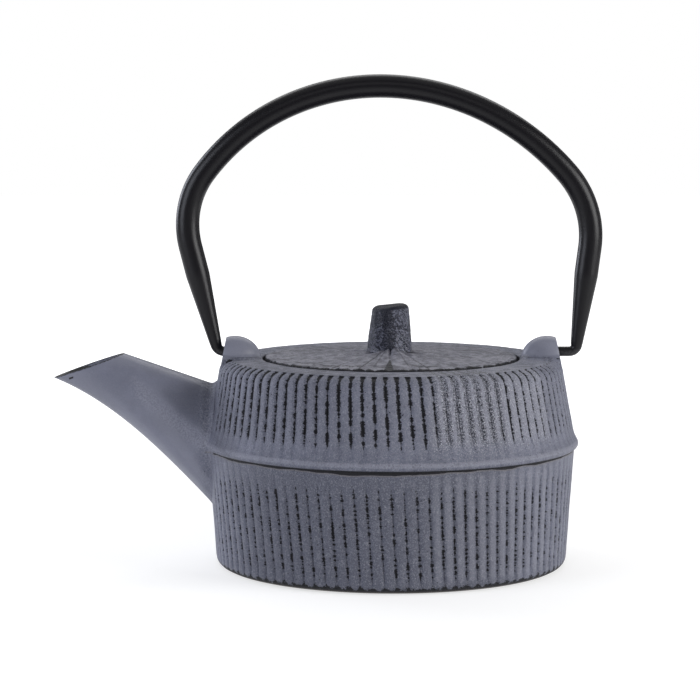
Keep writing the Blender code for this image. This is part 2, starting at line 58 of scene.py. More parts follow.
bl_info = {
    "name": "Cast Teapot Looks",
    "version": (1, 0, 0),
    "blender": (4, 5, 0),
    "location": "3D View > Sidebar > Teapot",
    "description": "Builds the finished pieces of a ribbed cast-iron teapot with an infuser",
    "category": "Object",
}

MM = 0.001
TAU = math.tau

# Sizes shared by several pieces, in millimetres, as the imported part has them
POT_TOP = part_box("infuser_rim")[1].z / MM + 3.9
BASE_RADIUS = 73.2
LOWER_TOP_RADIUS = 76.6
UPPER_FOOT_RADIUS = 76.2
SHOULDER_RADIUS = 72.2
LIP_RADIUS = 78.35
SEAM_HEIGHT = 50.2
SHOULDER_ROUNDING = 5.5
REBATE_RADIUS = 53.7
MOUTH_RADIUS = 47.0
SEAT_HEIGHT = 80.5
LID_HEIGHT = 81.9
HOOK_HEIGHT = 88.0
LEAN_HEIGHT = 65.0
MOUTH_TILT = math.radians(19.15)
MOUTH_LENGTH = 31.1
SPOUT_TIP = (-141.58, 77.05)
FRONT = -math.pi / 2.0
BASE_ROUNDING = 3.8
LOWER_TOP = 47.2
UPPER_FOOT = 56.6
UPPER_TOP = 80.1
WALL = 3.0
FLOOR = 3.5
INNER_ROUNDING = 6.0
RIB_MIDDLE_RADIUS = 75.0
LID_RADIUS = 53.0
VENT_RADIUS = 1.5
VENT_OFFSET = 22.0
LUG_LEAN = math.radians(10.0)
SOCKET_RADIUS = 2.55
SOCKET_DEPTH = 10.0

# Spout, with the oval round its root that stays free of ribs
SPOUT_TOP_ROOT = (-73.5, 74.0)
SPOUT_UNDER_ROOT = (-74.8, 24.3)
SPOUT_HALF_WIDTH = 16.0
SPOUT_HALF_HEIGHT = 25.0
MOUTH_HALF_WIDTH = 8.5
UNDER_SLOPE = math.radians(46.0)
TIP_SLOPE = math.radians(22.0)
SPOUT_FILLET = 3.2
CLEARING_MIDDLE = 50.0
CLEARING_HALF_WIDTH = 20.5
CLEARING_HALF_HEIGHT = 31.0

# Handle; heights are over the hinge
LUG_FACE = 70.26
HOOK_REACH = 5.1
HOOK_BEND = 3.2
HOOK_RADIUS = 2.05
HOOK_END_RADIUS = 1.8
ARM_FOOT_RADIUS = 2.5
ARM_TAPER = 32.0
ARM_SLOPE = math.radians(11.3)
HANDLE_RADIUS = 4.95
HANDLE_GAUGE = 0.9
HANDLE_HEIGHT = 111.7
CROWN_RADIUS = 98.0
CORNER_RADIUS = 38.0
HANDLE_SHIFT = 2.4
HANDLE_LEAN = 0.0614
HANDLE_WIDTH_SHARE = 0.9968
HANDLE_HEIGHT_SHARE = 0.9974


# ---------------------------------------------------------------- node sums


class Link:
    """A socket of a node tree that takes part in sums as a number does."""

    def __init__(self, maker, socket):
        self.maker = maker
        self.socket = socket

    def __add__(self, other):
        return self.maker.math("ADD", self, other)

    def __sub__(self, other):
        return self.maker.math("SUBTRACT", self, other)

    def __rsub__(self, other):
        return self.maker.math("SUBTRACT", other, self)

    def __mul__(self, other):
        return self.maker.math("MULTIPLY", self, other)

    def __truediv__(self, other):
        return self.maker.math("DIVIDE", self, other)

    def __pow__(self, other):
        return self.maker.math("POWER", self, other)

    def __abs__(self):
        return self.maker.math("ABSOLUTE", self)

    __radd__ = __add__
    __rmul__ = __mul__

    def also(self, name):
        """Another output of the same node."""
        return Link(self.maker, self.socket.node.outputs[name])


class Maker:
    """Adds nodes to one tree."""

    def __init__(self, tree):
        self.tree = tree

    def add(self, kind, settings=None, values=None, out=0):
        """One node: its settings first, then what its sockets hold or are linked to."""
        node = self.tree.nodes.new(kind)
        for key, value in (settings or {}).items():
            if key == "stops":
                ramp = node.color_ramp.elements
                while len(ramp) < len(value):
                    ramp.new(0.5)
                for stop, (place, color) in zip(ramp, value):
                    stop.position = place
                    stop.color = (*color, 1.0)
            else:
                setattr(node, key, value)
        for key, value in (values or {}).items():
            if isinstance(value, Link):
                self.tree.links.new(value.socket, node.inputs[key])
            else:
                node.inputs[key].default_value = value
        return Link(self, node.outputs[out]) if node.outputs else node

    def math(self, operation, *terms):
        return self.add("ShaderNodeMath", {"operation": operation}, dict(enumerate(terms)))

    def vector(self, operation, *terms):
        return self.add("ShaderNodeVectorMath", {"operation": operation}, dict(enumerate(terms)))

    def scaled(self, vector, share):
        values = {"Vector": vector, "Scale": share}
        return self.add("ShaderNodeVectorMath", {"operation": "SCALE"}, values)

    def between(self, value, low, high):
        """0 at low and 1 at high, easing in and out; low may be the larger."""
        values = {0: value, 1: low, 2: high}
        return self.add("ShaderNodeMapRange", {"interpolation_type": "SMOOTHSTEP"}, values)

    def band(self, value, low, high, soft):
        """1 between low and high, fading over soft outside them."""
        return self.between(value, low - soft, low) * self.between(value, high + soft, high)

    def larger(self, *terms):
        whole = terms[0]
        for term in terms[1:]:
            whole = self.math("MAXIMUM", whole, term)
        return whole

    def noise(self, place, scale, detail=2.0, roughness=0.5, distortion=0.0):
        """A cloud value about 0.5; scale is in features per unit of place."""
        values = {
            "Vector": place, "Scale": scale, "Detail": detail,
            "Roughness": roughness, "Distortion": distortion,
        }
        return self.add("ShaderNodeTexNoise", None, values)


class Finish(Maker):
    """A procedural material whose patterns lie on Object coordinates in millimetres."""

    def __init__(self, name):
        material = bpy.data.materials.new(name)
        material.use_nodes = True
        super().__init__(material.node_tree)
        self.material = material
        self.tree.nodes.clear()
        coordinates = self.add("ShaderNodeTexCoord", out="Object")
        self.place = self.vector("MULTIPLY", coordinates, (1000.0, 1000.0, 1000.0))
        self.x = self.add("ShaderNodeSeparateXYZ", None, {0: self.place})
        self.y = self.x.also("Y")
        self.z = self.x.also("Z")
        self.radius = self.math("SQRT", self.x * self.x + self.y * self.y)
        self.turn = self.math("ARCTAN2", self.y, self.x)

    def stretched(self, x, y, z):
        """The place with each axis scaled, for drawn-out patterns."""
        return self.vector("MULTIPLY", self.place, (x, y, z))

    def at(self, x, y, z=0.0):
        return self.add("ShaderNodeCombineXYZ", None, {0: x, 1: y, 2: z})

    def mix(self, share, first, second):
        """second laid over first by share; both are colours."""
        values = {0: share}
        for key, color in ((6, first), (7, second)):
            values[key] = color if isinstance(color, Link) else (*color, 1.0)
        settings = {"data_type": "RGBA", "clamp_factor": True}
        return self.add("ShaderNodeMix", settings, values, out=2)

    def layered(self, color, *layers):
        """Lays each (share, colour) in turn over what is there."""
        for share, layer in layers:
            color = self.mix(share, color, layer)
        return color

    def coated(self, color, roughness, height, depth, **fixed):
        """Ends the tree in one Principled shader; height is in millimetres times depth."""
        bump = self.add(
            "ShaderNodeBump", None, {"Height": height, "Distance": depth * MM, "Strength": 1.0},
        )
        values = {"Base Color": color, "Roughness": roughness, "Normal": bump}
        if not isinstance(color, Link):
            values["Base Color"] = (*color, 1.0)
        for key, value in fixed.items():
            values[key.replace("_", " ")] = value
        shader = self.add("ShaderNodeBsdfPrincipled", None, values)
        self.add("ShaderNodeOutputMaterial", None, {"Surface": shader})
        return self.material


class Recipe(Maker):
    """A geometry tree with named inputs."""

    KINDS = {float: "NodeSocketFloat", int: "NodeSocketInt"}

    def __init__(self, name, inputs):
        tree = bpy.data.node_groups.new(name, "GeometryNodeTree")
        super().__init__(tree)
        tree.interface.new_socket("Geometry", in_out="OUTPUT", socket_type="NodeSocketGeometry")
        tree.interface.new_socket("Geometry", in_out="INPUT", socket_type="NodeSocketGeometry")
        self.values = dict(inputs)
        self.keys = {}
        for label, value in inputs.items():
            kind = self.KINDS.get(type(value), "NodeSocketMaterial")
            made = tree.interface.new_socket(label, in_out="INPUT", socket_type=kind)
            self.keys[label] = made.identifier
        self.entry = self.add("NodeGroupInput")

    def given(self, label="Geometry"):
        return self.entry.also(label)

    def grow(self, name, geometry, start=None):
        """Realises the tree on a start mesh and gives the plain object back."""
        whole = self.add("GeometryNodeRealizeInstances", None, {0: geometry})
        whole = self.add("GeometryNodeSetMaterial", None, {0: whole, "Material": self.given("Finish")})
        self.add("NodeGroupOutput", None, {0: whole})
        holder = link_mesh(name + "_start", start or bpy.data.meshes.new(name + "_start"))
        modifier = holder.modifiers.new(name, "NODES")
        modifier.node_group = self.tree
        for label, value in self.values.items():
            modifier[self.keys[label]] = value
        holder.update_tag()
        mesh = settled(holder)
        bpy.data.objects.remove(holder)
        return link_mesh(name, mesh)


# ---------------------------------------------------------------- mesh helpers


def link_mesh(name, mesh):
    piece = bpy.data.objects.new(name, mesh)
    bpy.context.scene.collection.objects.link(piece)
    return piece


def settled(piece):
    """The piece's mesh with its modifiers worked in."""
    bpy.context.view_layer.update()
    depsgraph = bpy.context.evaluated_depsgraph_get()
    return bpy.data.meshes.new_from_object(piece.evaluated_get(depsgraph), depsgraph=depsgraph)


def clean(mesh, distance=1e-6):
    """Merges doubles, drops flat slivers and turns the faces outwards."""
    bm = bmesh.new()
    bm.from_mesh(mesh)
    bmesh.ops.remove_doubles(bm, verts=bm.verts, dist=distance)
    bmesh.ops.dissolve_degenerate(bm, edges=bm.edges, dist=distance)
    bmesh.ops.recalc_face_normals(bm, faces=bm.faces)
    bm.to_mesh(mesh)
    bm.free()


def smooth(piece, degrees):
    piece.data.shade_smooth()
    piece.data.set_sharp_from_angle(angle=math.radians(degrees))


def skin(name, grid, loop_rows=False, caps=False):
    """A solid from a grid of points, rows by columns, whose columns go round; millimetres."""
    grid = np.asarray(grid, float)
    rows, columns = grid.shape[:2]
    index = np.arange(rows * columns).reshape(rows, columns)
    following = np.roll(index, -1, axis=0) if loop_rows else index[1:]
    near = index if loop_rows else index[:-1]
    near_next = np.roll(near, -1, axis=1)
    following_next = np.roll(following, -1, axis=1)
    faces = np.stack([near, near_next, following_next, following], axis=-1).reshape(-1, 4).tolist()
    points = (grid.reshape(-1, 3) * MM).tolist()
    if caps:
        for row, order in ((index[0], 1), (index[-1], -1)):
            points.append(np.mean([points[i] for i in row], axis=0).tolist())
            middle = len(points) - 1
            for first, second in zip(row.tolist(), np.roll(row, -1).tolist()):
                faces.append((first, middle, second)[::order])
    mesh = bpy.data.meshes.new(name)
    mesh.from_pydata(points, [], faces)
    clean(mesh)
    return link_mesh(name, mesh)


def turned(name, outline, steps, shape=None, loop=False):
    """A solid turned about Z from (r, z) points; shape(points, angle) may work the surface."""
    outline = np.asarray(outline, float)
    angle = np.arange(steps) * TAU / steps
    radius = outline[:, 0][:, None]
    grid = np.stack([
        radius * np.cos(angle), radius * np.sin(angle), np.repeat(outline[:, 1][:, None], steps, axis=1),
    ], axis=-1)
    if shape:
        grid = shape(grid, np.broadcast_to(angle, grid.shape[:2]))
    return skin(name, grid, loop_rows=loop)


def carve(piece, form, operation):
    """Joins or cuts another solid and works it in."""
    step = piece.modifiers.new("carve", "BOOLEAN")
    step.operation = operation
    step.object = form
    step.solver = "MANIFOLD"
    mesh = settled(piece)
    piece.modifiers.clear()
    piece.data = mesh
    bpy.data.objects.remove(form)


def arc(center_r, center_z, radius, degrees):
    """Points of an arc at the given angles from +r."""
    turns = np.radians(degrees)
    return list(zip(center_r + radius * np.cos(turns), center_z + radius * np.sin(turns)))


def line(first, last, steps):
    """Points from first towards last, without last."""
    shares = np.arange(steps) / steps
    return [(first[0] + (last[0] - first[0]) * s, first[1] + (last[1] - first[1]) * s) for s in shares]


def waves(angle, seed, counts):
    """A sum of sines of random phase round the axis, each of about unit height."""
    random = np.random.default_rng(seed)
    total = np.zeros_like(angle, dtype=float)
    for count in counts:
        total = total + np.sin(angle * count + random.uniform(0.0, TAU)) * random.uniform(0.6, 1.0)
    return total / math.sqrt(len(counts))


def eased(value, low, high):
    """0 at low and 1 at high with eased ends."""
    share = np.clip((np.asarray(value, float) - low) / (high - low), 0.0, 1.0)
    return share * share * (3.0 - 2.0 * share)


def stand_for(piece, body, slot, *nodes):
    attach(piece, body)
    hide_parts(*nodes)


def dress(piece, *materials):
    piece.data.materials.clear()
    for material in materials:
        piece.data.materials.append(material)


# ---------------------------------------------------------------- finishes


def slate_marks(f, pot):
    """Grain and zones of the pot's coat; off is millimetres from a groove's middle, around from the front."""
    m = SimpleNamespace()
    x, y, z = f.x, f.y, f.z
    rib = (f.turn - FRONT - (LEAN_HEIGHT - z) * pot.rib_lean * MM) * (pot.rib_count / TAU)
    groove = f.math("FLOOR", rib)
    m.off = abs(f.math("FRACT", rib) - 0.5) * (TAU * RIB_MIDDLE_RADIUS / pot.rib_count)
    m.around = f.turn - FRONT

    m.dashes = f.noise(f.at(groove * 3.71, z * 0.42, 1.7), 1.0, 2.0, 0.65)
    m.beads = f.noise(f.at(groove * 5.3, z * 0.95, 0.4), 1.0, 1.0, 0.5)
    m.ragged = f.noise(f.place, 1.5, 2.0, 0.6)
    m.fine = f.noise(f.place, 1.5, 3.0, 0.75)
    m.mottle = f.noise(f.place, 0.42, 3.0, 0.7)
    m.sparkle = f.noise(f.place, 1.9, 2.0, 0.8)
    wave = f.noise(f.at(f.turn * 9.0, 4.3), 1.0, 2.0, 0.5)
    # The band under the lip is black undercoat and a painted shadow cast by the lip; it is made thicker
    # towards the front.
    front_lip_black_and_shade = f.band(m.around, -0.26, 0.04, 0.18)
    m.lip_edge = 48.45 - (wave - 0.36) * 1.6 - front_lip_black_and_shade * 0.75

    m.smooth = f.larger(f.between(x, -76.0, -82.0), f.between(z, 86.0, 87.5))
    m.grain = 1.0 - m.smooth * 0.82
    # Rubbed paint and painted highlight: on this band of the right side the black is taken out of the
    # grooves, as a highlight washes it out.
    m.brushed = f.band(m.around, 0.26, 0.60, 0.07)
    # Painted highlight: the right side of the coat is made paler where a lamp's highlight falls.
    m.pale_side = f.band(m.around, 0.26, 0.95, 0.10)
    m.left_side = f.between(m.around, -0.30, -0.55)
    m.under_lip = f.between(f.radius, 75.0, 75.6)
    m.plate = f.between(z, 83.6, 84.9) * f.between(f.radius, 68.5, 67.0) * f.between(z, 86.3, 85.9)
    across = y / CLEARING_HALF_WIDTH
    upward = (z - CLEARING_MIDDLE) / CLEARING_HALF_HEIGHT
    oval = f.math("SQRT", across ** 2.0 + upward ** 2.0)
    clear_of_spout = f.larger(f.between(oval, 1.0, 1.12), f.between(x, -40.0, -30.0))
    m.on_wall = clear_of_spout * f.between(f.radius, 80.0, 79.0) * f.between(z, 86.1, 85.7)
    return m


def groove_black(f, m):
    """Black left in the grooves of each tier and in the notches at the shoulder."""
    z, radius = f.z, f.radius
    outside = f.between(radius, 66.75, 66.95)
    right_side = f.between(m.around, 0.60, 0.75)
    upper = f.between(z, 56.5, 60.5) * outside * (1.0 - m.brushed * 0.95)
    whole = f.between(m.dashes, 0.34, 0.52) * (1.0 - m.left_side * 0.35 * f.between(m.beads, 0.56, 0.44))
    share = 0.80 - m.left_side * 0.05 - right_side * 0.34 + (m.beads - 0.5) * 0.6
    notch = f.between(radius, 72.2, 67.8) * outside * f.between(z, 79.0, 81.0)
    notch = notch * (1.30 - m.left_side * 0.10 - right_side * 0.55) * (1.0 - m.brushed * 0.90)
    lower = f.between(z, 43.5, 37.5) * f.between(z, 4.5, 8.0)
    lower = lower * f.between(m.dashes, 0.38, 0.50) * f.between(m.beads, 0.40, 0.56) * 0.66
    width = f.larger(f.larger(upper * (0.05 + whole) * share, notch), lower) * m.on_wall
    return f.between(m.off + (m.ragged - 0.5) * 1.9 - width, 0.04, -0.16) * f.between(width, 0.03, 0.15)


def edge_black(f, m):
    """Black at the foot, under the lip, round the lid's seat, along the mouth and in pin holes; under the lip
    and round the seat it is black paint with painted shade.
    """
    x, y, z = f.x, f.y, f.z
    tooth = f.between(m.off, 1.9, 0.2)
    foot_edge = 1.9 + tooth * 0.9 + (m.ragged - 0.5) * 3.2 + (m.mottle - 0.5) * 4.0
    foot = f.between(z - foot_edge, 0.25, -0.25)
    # Black undercoat and painted shadow under the lip.
    lip = f.band(z, m.lip_edge, 49.15, 0.12) * m.under_lip
    lip = lip * f.larger(f.between(x, -60.0, -50.0), f.between(abs(y), 20.0, 23.0))
    # Black paint and painted shade in the gap round the lid's seat.
    seat_edge = f.noise(f.at(f.turn * 14.0, 9.1), 1.0, 2.5, 0.6)
    seat = f.between(f.radius - REBATE_RADIUS - (seat_edge - 0.36) * 2.0, 0.15, -0.1)
    seat = seat * f.between(z, 79.0, 80.0)
    mouth_depth = (x - SPOUT_TIP[0]) * math.sin(MOUTH_TILT) - (z - SPOUT_TIP[1]) * math.cos(MOUTH_TILT)
    mouth = f.between(mouth_depth - 0.25 - (m.ragged - 0.5) * 0.9, 0.15, -0.15) * f.between(x, -100.0, -106.0)
    nick = f.band(x, -134.4, -132.9, 0.35) * f.band(mouth_depth, 1.9, 2.4, 0.3) * f.between(y, -3.0, -4.0)
    pin_holes = f.between(f.noise(f.place, 1.3, 1.0, 0.5), 0.27, 0.22) * m.grain
    return foot, lip, seat, mouth, nick, pin_holes


def slate_coat(f, pot, m):
    """The slate coat: cloudy, paler on crests and edges, thin over rough spots; with painted shade at the
    front and in the spout's fillet, and painted highlights and glints on the right side, the spout's ridge,
    the lip and the lugs.
    """
    x, z, radius = f.x, f.z, f.radius
    pale, deep = pot.paint_pale, pot.paint_deep
    cloud = f.noise(f.place, 0.07, 3.0, 0.55)
    streaks = f.noise(f.at(radius * 0.28, f.turn * 13.0, 2.2), 1.0, 3.0, 0.7)
    crest = f.between(m.off, 0.5, 1.9)
    # Paler lip edge: rubbed paint and a painted highlight on its rounded top.
    worn_and_highlit_lip = f.band(z, 51.0, 51.8, 0.9) * f.between(radius, 77.0, 77.8) * f.between(radius, 79.6, 79.0)
    # Painted shade: the front and left of the lower tier and the front of the upper tier are darkened.
    shade = f.band(m.around, -0.75, 0.42, 0.55) * f.between(z, 51.0, 48.0)
    shade = f.larger(shade, f.band(m.around, -0.40, 0.16, 0.25) * 0.30)
    # Painted highlight along the spout's side ridge, where its oval section is widest.
    ridge_line = z - 49.5 + (x + 76.4) * 0.792
    ridge_highlight = f.band(ridge_line, -1.0, 2.5, 4.5) * f.band(x, -104.0, -77.0, 6.0)
    # Painted shade in the hollow fillet where the top of the spout meets the wall.
    fillet_shade = f.between(ridge_line, 3.0, 9.0) * f.band(x, -92.0, -70.0, 9.0) * f.between(z, 78.0, 70.0)
    worn_zone = f.larger(m.brushed, m.left_side * 0.35) * f.between(z, 56.0, 62.0)
    specks = f.between(m.off, 2.2, 1.1) * f.between(m.sparkle, 0.52, 0.45) * worn_zone
    # Painted glints: bright flecks of painted highlight, most on the painted highlight side.
    glint_share = 0.28 + m.pale_side * 0.62 * f.between(z, 52.0, 60.0)
    glints = f.between(m.sparkle, 0.55, 0.63) * glint_share * m.grain
    return f.layered(
        f.mix(f.between(cloud, 0.35, 0.65), pot.paint_dark, pot.paint),
        (crest * 0.22, pale),
        (shade * 0.85 * f.between(radius, 79.6, 79.0), deep),
        (m.pale_side * f.between(z, 56.0, 62.0) * 0.62, pale),
        (m.plate * f.between(streaks, 0.51, 0.58) * 0.75, pale),
        (m.plate * f.between(streaks, 0.50, 0.42) * 0.85, deep),
        (worn_and_highlit_lip * 0.7, pale),
        (m.smooth * 0.30, pale),
        # The lugs are painted paler, as a painted highlight.
        (f.between(z, 86.0, 87.5) * 0.40, pale),
        (f.between(z, 52.0, 60.0) * 0.12 * m.grain, pale),
        (ridge_highlight * f.between(m.fine, 0.42, 0.58) * 0.65, pale),
        (fillet_shade * 0.55, deep),
        (f.between(m.fine, 0.53, 0.66) * m.grain * 0.50, pale),
        (f.between(m.fine, 0.47, 0.34) * m.grain * 0.62, deep),
        (specks * 0.95 * m.on_wall, pot.black),
        # Painted highlights on the rib crests of the lower tier's right side.
        (m.pale_side * crest * f.band(z, 6.0, 45.0, 3.0) * 0.35, pale),
        (glints, pot.painted_glint),
        (f.between(m.mottle, 0.56, 0.68) * m.grain * 0.25, pale),
        (f.between(m.mottle, 0.44, 0.32) * m.grain * 0.35, deep),
    ), streaks


def slate_paint(pot):
    """Dry-brushed slate over black: the black stays in the grooves, seams and edges."""
    f = Finish("slate_paint")
    m = slate_marks(f, pot)
    black = f.larger(groove_black(f, m), *edge_black(f, m))
    coat, streaks = slate_coat(f, pot, m)
    lip_line = f.band(f.z, m.lip_edge - 0.55, m.lip_edge - 0.1, 0.15) * m.under_lip
    thin = f.band(f.z, 0.1, 0.9, 0.3) * 0.55 + lip_line * f.between(f.radius, 79.0, 78.6) * 0.4
    color = f.layered(coat, (thin, pot.thin_edge), (black, pot.black))
    color = f.mix(thin * f.between(f.z, 1.0, 0.6), color, pot.thin_edge)
    roughness = 0.47 + (m.fine - 0.5) * 0.16 + black * 0.14 - m.smooth * 0.12
    grit = (m.mottle * 0.9 + m.fine * 0.95 + m.sparkle * 0.45) * m.grain
    height = grit + m.plate * streaks * 2.5 - black * 0.40
    return f.coated(color, roughness, height, 0.38, Specular_IOR_Level=0.27)


def black_enamel():
    """Matt black inside of the pot."""
    f = Finish("black_enamel")
    speck = f.noise(f.place, 2.2, 3.0, 0.6)
    color = f.mix(speck, (0.010, 0.010, 0.011), (0.024, 0.024, 0.027))
    return f.coated(color, 0.42 + speck * 0.2, speck, 0.12)


def lid_paint(lid):
    """The pot's coat as it is brushed on the lid: paler, with fine grain round the middle; its rim is black
    paint with painted shade, with painted shadow lines between the roots.
    """
    f = Finish("lid_paint")
    radius, z = f.radius, f.z
    grain = f.noise(f.at(radius * 1.3, f.turn * 7.0, z * 0.2), 1.0, 4.0, 0.65)
    fine = f.noise(f.place, 4.0, 3.0, 0.65)
    mottle = f.noise(f.at(radius * 0.25, f.turn * 11.0, z * 0.1), 1.0, 3.0, 0.7)
    cloud = f.noise(f.place, 0.09, 3.0, 0.5)
    edge = f.noise(f.at(f.turn * 22.0, 3.0), 1.0, 3.0, 0.7)
    # The rim's black is black paint and painted shade of the gap, made thicker and more ragged towards the
    # front.
    to_front = f.between(f.y / radius, -0.35, -1.0)
    rim = radius - 52.6 + to_front * 0.3 + (edge - 0.43) * (1.6 + to_front * 9.0)
    scratch = f.band(radius - (edge - 0.5) * 9.0, 46.4, 47.2, 0.7) * f.between(cloud, 0.42, 0.52) * to_front
    # Black paint and painted shade on the lid's edge and underside, inside the gap.
    lid_side_black_and_shade = f.between(z, 84.0, 82.5)
    black = f.larger(f.between(rim, -0.2, 0.2), scratch * 0.8, root_shadow_lines(f), lid_side_black_and_shade * 0.85)
    color = f.layered(
        f.mix(f.between(cloud, 0.3, 0.7), lid.paint_dark, lid.paint),
        (f.between(grain, 0.48, 0.62) * 0.6, lid.paint_pale),
        (f.between(grain, 0.48, 0.34) * 0.6, lid.paint_dark),
        (f.between(fine, 0.60, 0.75) * 0.3, lid.paint_pale),
        (f.between(mottle, 0.52, 0.60) * 0.55, lid.paint_pale),
        (f.between(mottle, 0.49, 0.40) * 0.80, lid.paint_deep),
        (black, lid.black),
    )
    height = grain * 0.8 + fine * 0.35 + mottle * 4.5 - black * 0.5
    roughness = 0.50 + (fine - 0.5) * 0.2 + black * 0.1
    return f.coated(color, roughness, height, 0.32, Specular_IOR_Level=0.25)


def root_shadow_lines(f):
    """Painted shadow lines between the roots on the lid."""
    ragged = f.noise(f.place, 1.3, 3.0, 0.65)
    valleys = 0.0
    for place, first, last, width, strength in ROOT_SHADOW_LINES:
        away = abs(f.turn - FRONT - place + (ragged - 0.5) * 0.05) * f.radius
        valley = f.between(away - (f.radius - first) * width, 0.35, 0.0) * strength
        valley = valley * f.between(f.radius, first - 1.0, first + 1.0)
        valley = valley * f.between(f.radius, last + 2.0, last)
        valleys = f.larger(valley, valleys)
    return valleys


def knob_finish(knob):
    """Near-black casting rubbed with slate, in slanting flecks; painted paler on the right face and darker on
    the upper left side, as light and shade, with painted highlight flecks low on the right.
    """
    f = Finish("knob_finish")
    z, turn = f.z, f.turn
    slant = f.at(turn * 4.6 + z * 0.30, z * 0.55, f.radius * 0.3)
    flecks = f.noise(slant, 1.9, 3.0, 0.7, 0.6)
    streak = f.noise(f.at(turn * 2.6, z * 0.06), 1.0, 2.0, 0.5)
    fine = f.noise(f.place, 3.4, 3.0, 0.6)
    around = turn - FRONT
    # Painted light: the knob's right face is made paler.
    lit_right_face = f.band(around, 0.25, 1.25, 0.3)
    dark_line = f.band(around, -0.32, 0.02, 0.16)
    share = f.between(flecks, 0.49, 0.54) * 0.95 + lit_right_face * 0.30
    share = share - dark_line * 0.40 + (streak - 0.5) * 1.2 - 0.22
    # Painted shade on the upper left side of the knob.
    share = share - f.band(around, -1.2, -0.35, 0.3) * f.between(z, 97.0, 101.0) * 0.5
    foot = f.between(z, 93.0, 89.0)
    share = share + foot * 0.10
    top_edge = f.between(z - f.x * 0.085, 105.2, 106.4)
    share = share * (1.0 - top_edge)
    color = f.mix(share, knob.dark, knob.rubbed)
    # Painted highlight: more pale flecks low on the knob's right side.
    highlit_side = f.band(around, 0.35, 0.85, 0.25) * f.between(z, 99.0, 92.0)
    bright = f.between(fine, 0.56, 0.66) * (0.30 + highlit_side * 0.7)
    color = f.mix(bright * (1.0 - top_edge), color, knob.pale)
    height = flecks * 1.0 + fine * 0.5
    return f.coated(color, 0.38 + (fine - 0.5) * 0.2, height, 0.50, Specular_IOR_Level=0.20)


def black_satin(handle):
    """Baked satin black on the handle, faintly pebbled and drawn along its length."""
    f = Finish("black_satin")
    pebble = f.noise(f.place, 2.6, 2.0, 0.5)
    drawn = f.noise(f.stretched(1.0, 0.4, 0.25), 1.4, 3.0, 0.6)
    scuff = f.between(f.noise(f.place, 0.35, 4.0, 0.7), 0.60, 0.72)
    hook = f.between(f.z, HOOK_HEIGHT + 1.6, HOOK_HEIGHT - 0.4) * f.between(pebble, 0.35, 0.6)
    color = f.mix(pebble, handle.paint, (0.006, 0.0055, 0.0072))
    color = f.mix(hook * 0.35, color, (0.10, 0.10, 0.105))
    roughness = 0.31 + (drawn - 0.5) * 0.08 + scuff * 0.06
    return f.coated(color, roughness, pebble + drawn * 0.4, 0.035, Specular_IOR_Level=0.26)


def brushed_steel(name, pattern, color=(0.62, 0.62, 0.61)):
    """Stainless steel with a fine drawn grain; pattern stretches it along the bands."""
    f = Finish(name)
    grain = f.noise(f.at(f.turn * pattern[0], f.radius * pattern[1], f.z * pattern[2]), 1.0, 3.0, 0.65)
    stain = f.noise(f.place, 0.12, 3.0, 0.6)
    tone = f.mix(stain, color, tuple(c * 0.86 for c in color))
    tone = f.mix(f.between(grain, 0.55, 0.8) * 0.4, tone, tuple(c * 0.75 for c in color))
    roughness = 0.24 + (grain - 0.5) * 0.22 + (stain - 0.5) * 0.12
    return f.coated(tone, roughness, grain, 0.02, Metallic=1.0)


# ---------------------------------------------------------------- pot


def pot_rows():
    """Outside of the pot from the base's middle to the seat: r, z, groove depth, groove shape."""
    lip = 1.75
    rows = []

    def put(points, depth, shape):
        for r, z in points:
            cut = depth(z) if callable(depth) else depth
            rows.append((r, z, cut, shape(z) if callable(shape) else shape))

    def lower_depth(z):
        return float(eased(z, 1.2, 5.0) * (1.0 - 0.75 * eased(z, 34.0, 46.0)))

    def upper_depth(z):
        return float(0.20 * eased(z, 51.8, 54.0) + 0.80 * eased(z, 54.5, 62.0))

    def notch_shape(z):
        return float(3.4 - 2.3 * eased(z, 79.5, 84.0))

    put(line((0.0, 0.0), (BASE_RADIUS - BASE_ROUNDING, 0.0), 4), 0.0, 3.0)
    rounding = arc(BASE_RADIUS - BASE_ROUNDING, BASE_ROUNDING, BASE_ROUNDING, [-90, -72, -54, -36, -18])
    put(rounding, lower_depth, 2.6)
    put(line((BASE_RADIUS, BASE_ROUNDING), (LOWER_TOP_RADIUS, LOWER_TOP), 37), lower_depth, 2.8)
    put([(LOWER_TOP_RADIUS, LOWER_TOP), (LOWER_TOP_RADIUS + 0.1, LOWER_TOP + 1.1)], 0.12, 2.8)
    put([(LIP_RADIUS - lip + 0.15, 48.75)], 0.0, 2.8)
    put(arc(LIP_RADIUS - lip, SEAM_HEIGHT + 0.35, lip, [-62, -40, -18, 4, 24, 40]), 0.0, 2.8)
    put([(77.35, 52.9), (76.85, 54.0), (76.45, 55.3)], upper_depth, 2.4)
    foot = (UPPER_FOOT_RADIUS - 0.05, UPPER_FOOT)
    shoulder = (SHOULDER_RADIUS - 0.05, UPPER_TOP)
    put(line(foot, shoulder, 21), upper_depth, notch_shape)
    center = SHOULDER_RADIUS - SHOULDER_ROUNDING
    top = POT_TOP - 0.4 - SHOULDER_ROUNDING
    put(arc(center, top, SHOULDER_ROUNDING, [5, 18, 31, 43, 54, 63, 71, 77, 82]), 1.0, notch_shape)
    put(arc(center, top, SHOULDER_ROUNDING, [86, 90]), 0.0, 1.1)
    put(line((center - 1.6, POT_TOP - 0.35), (REBATE_RADIUS + 0.8, POT_TOP - 0.05), 6), 0.0, 2.0)
    put([(REBATE_RADIUS + 0.7, POT_TOP - 0.05), (REBATE_RADIUS - 4.0, POT_TOP), (0.0, POT_TOP)], 0.0, 2.0)
    return rows


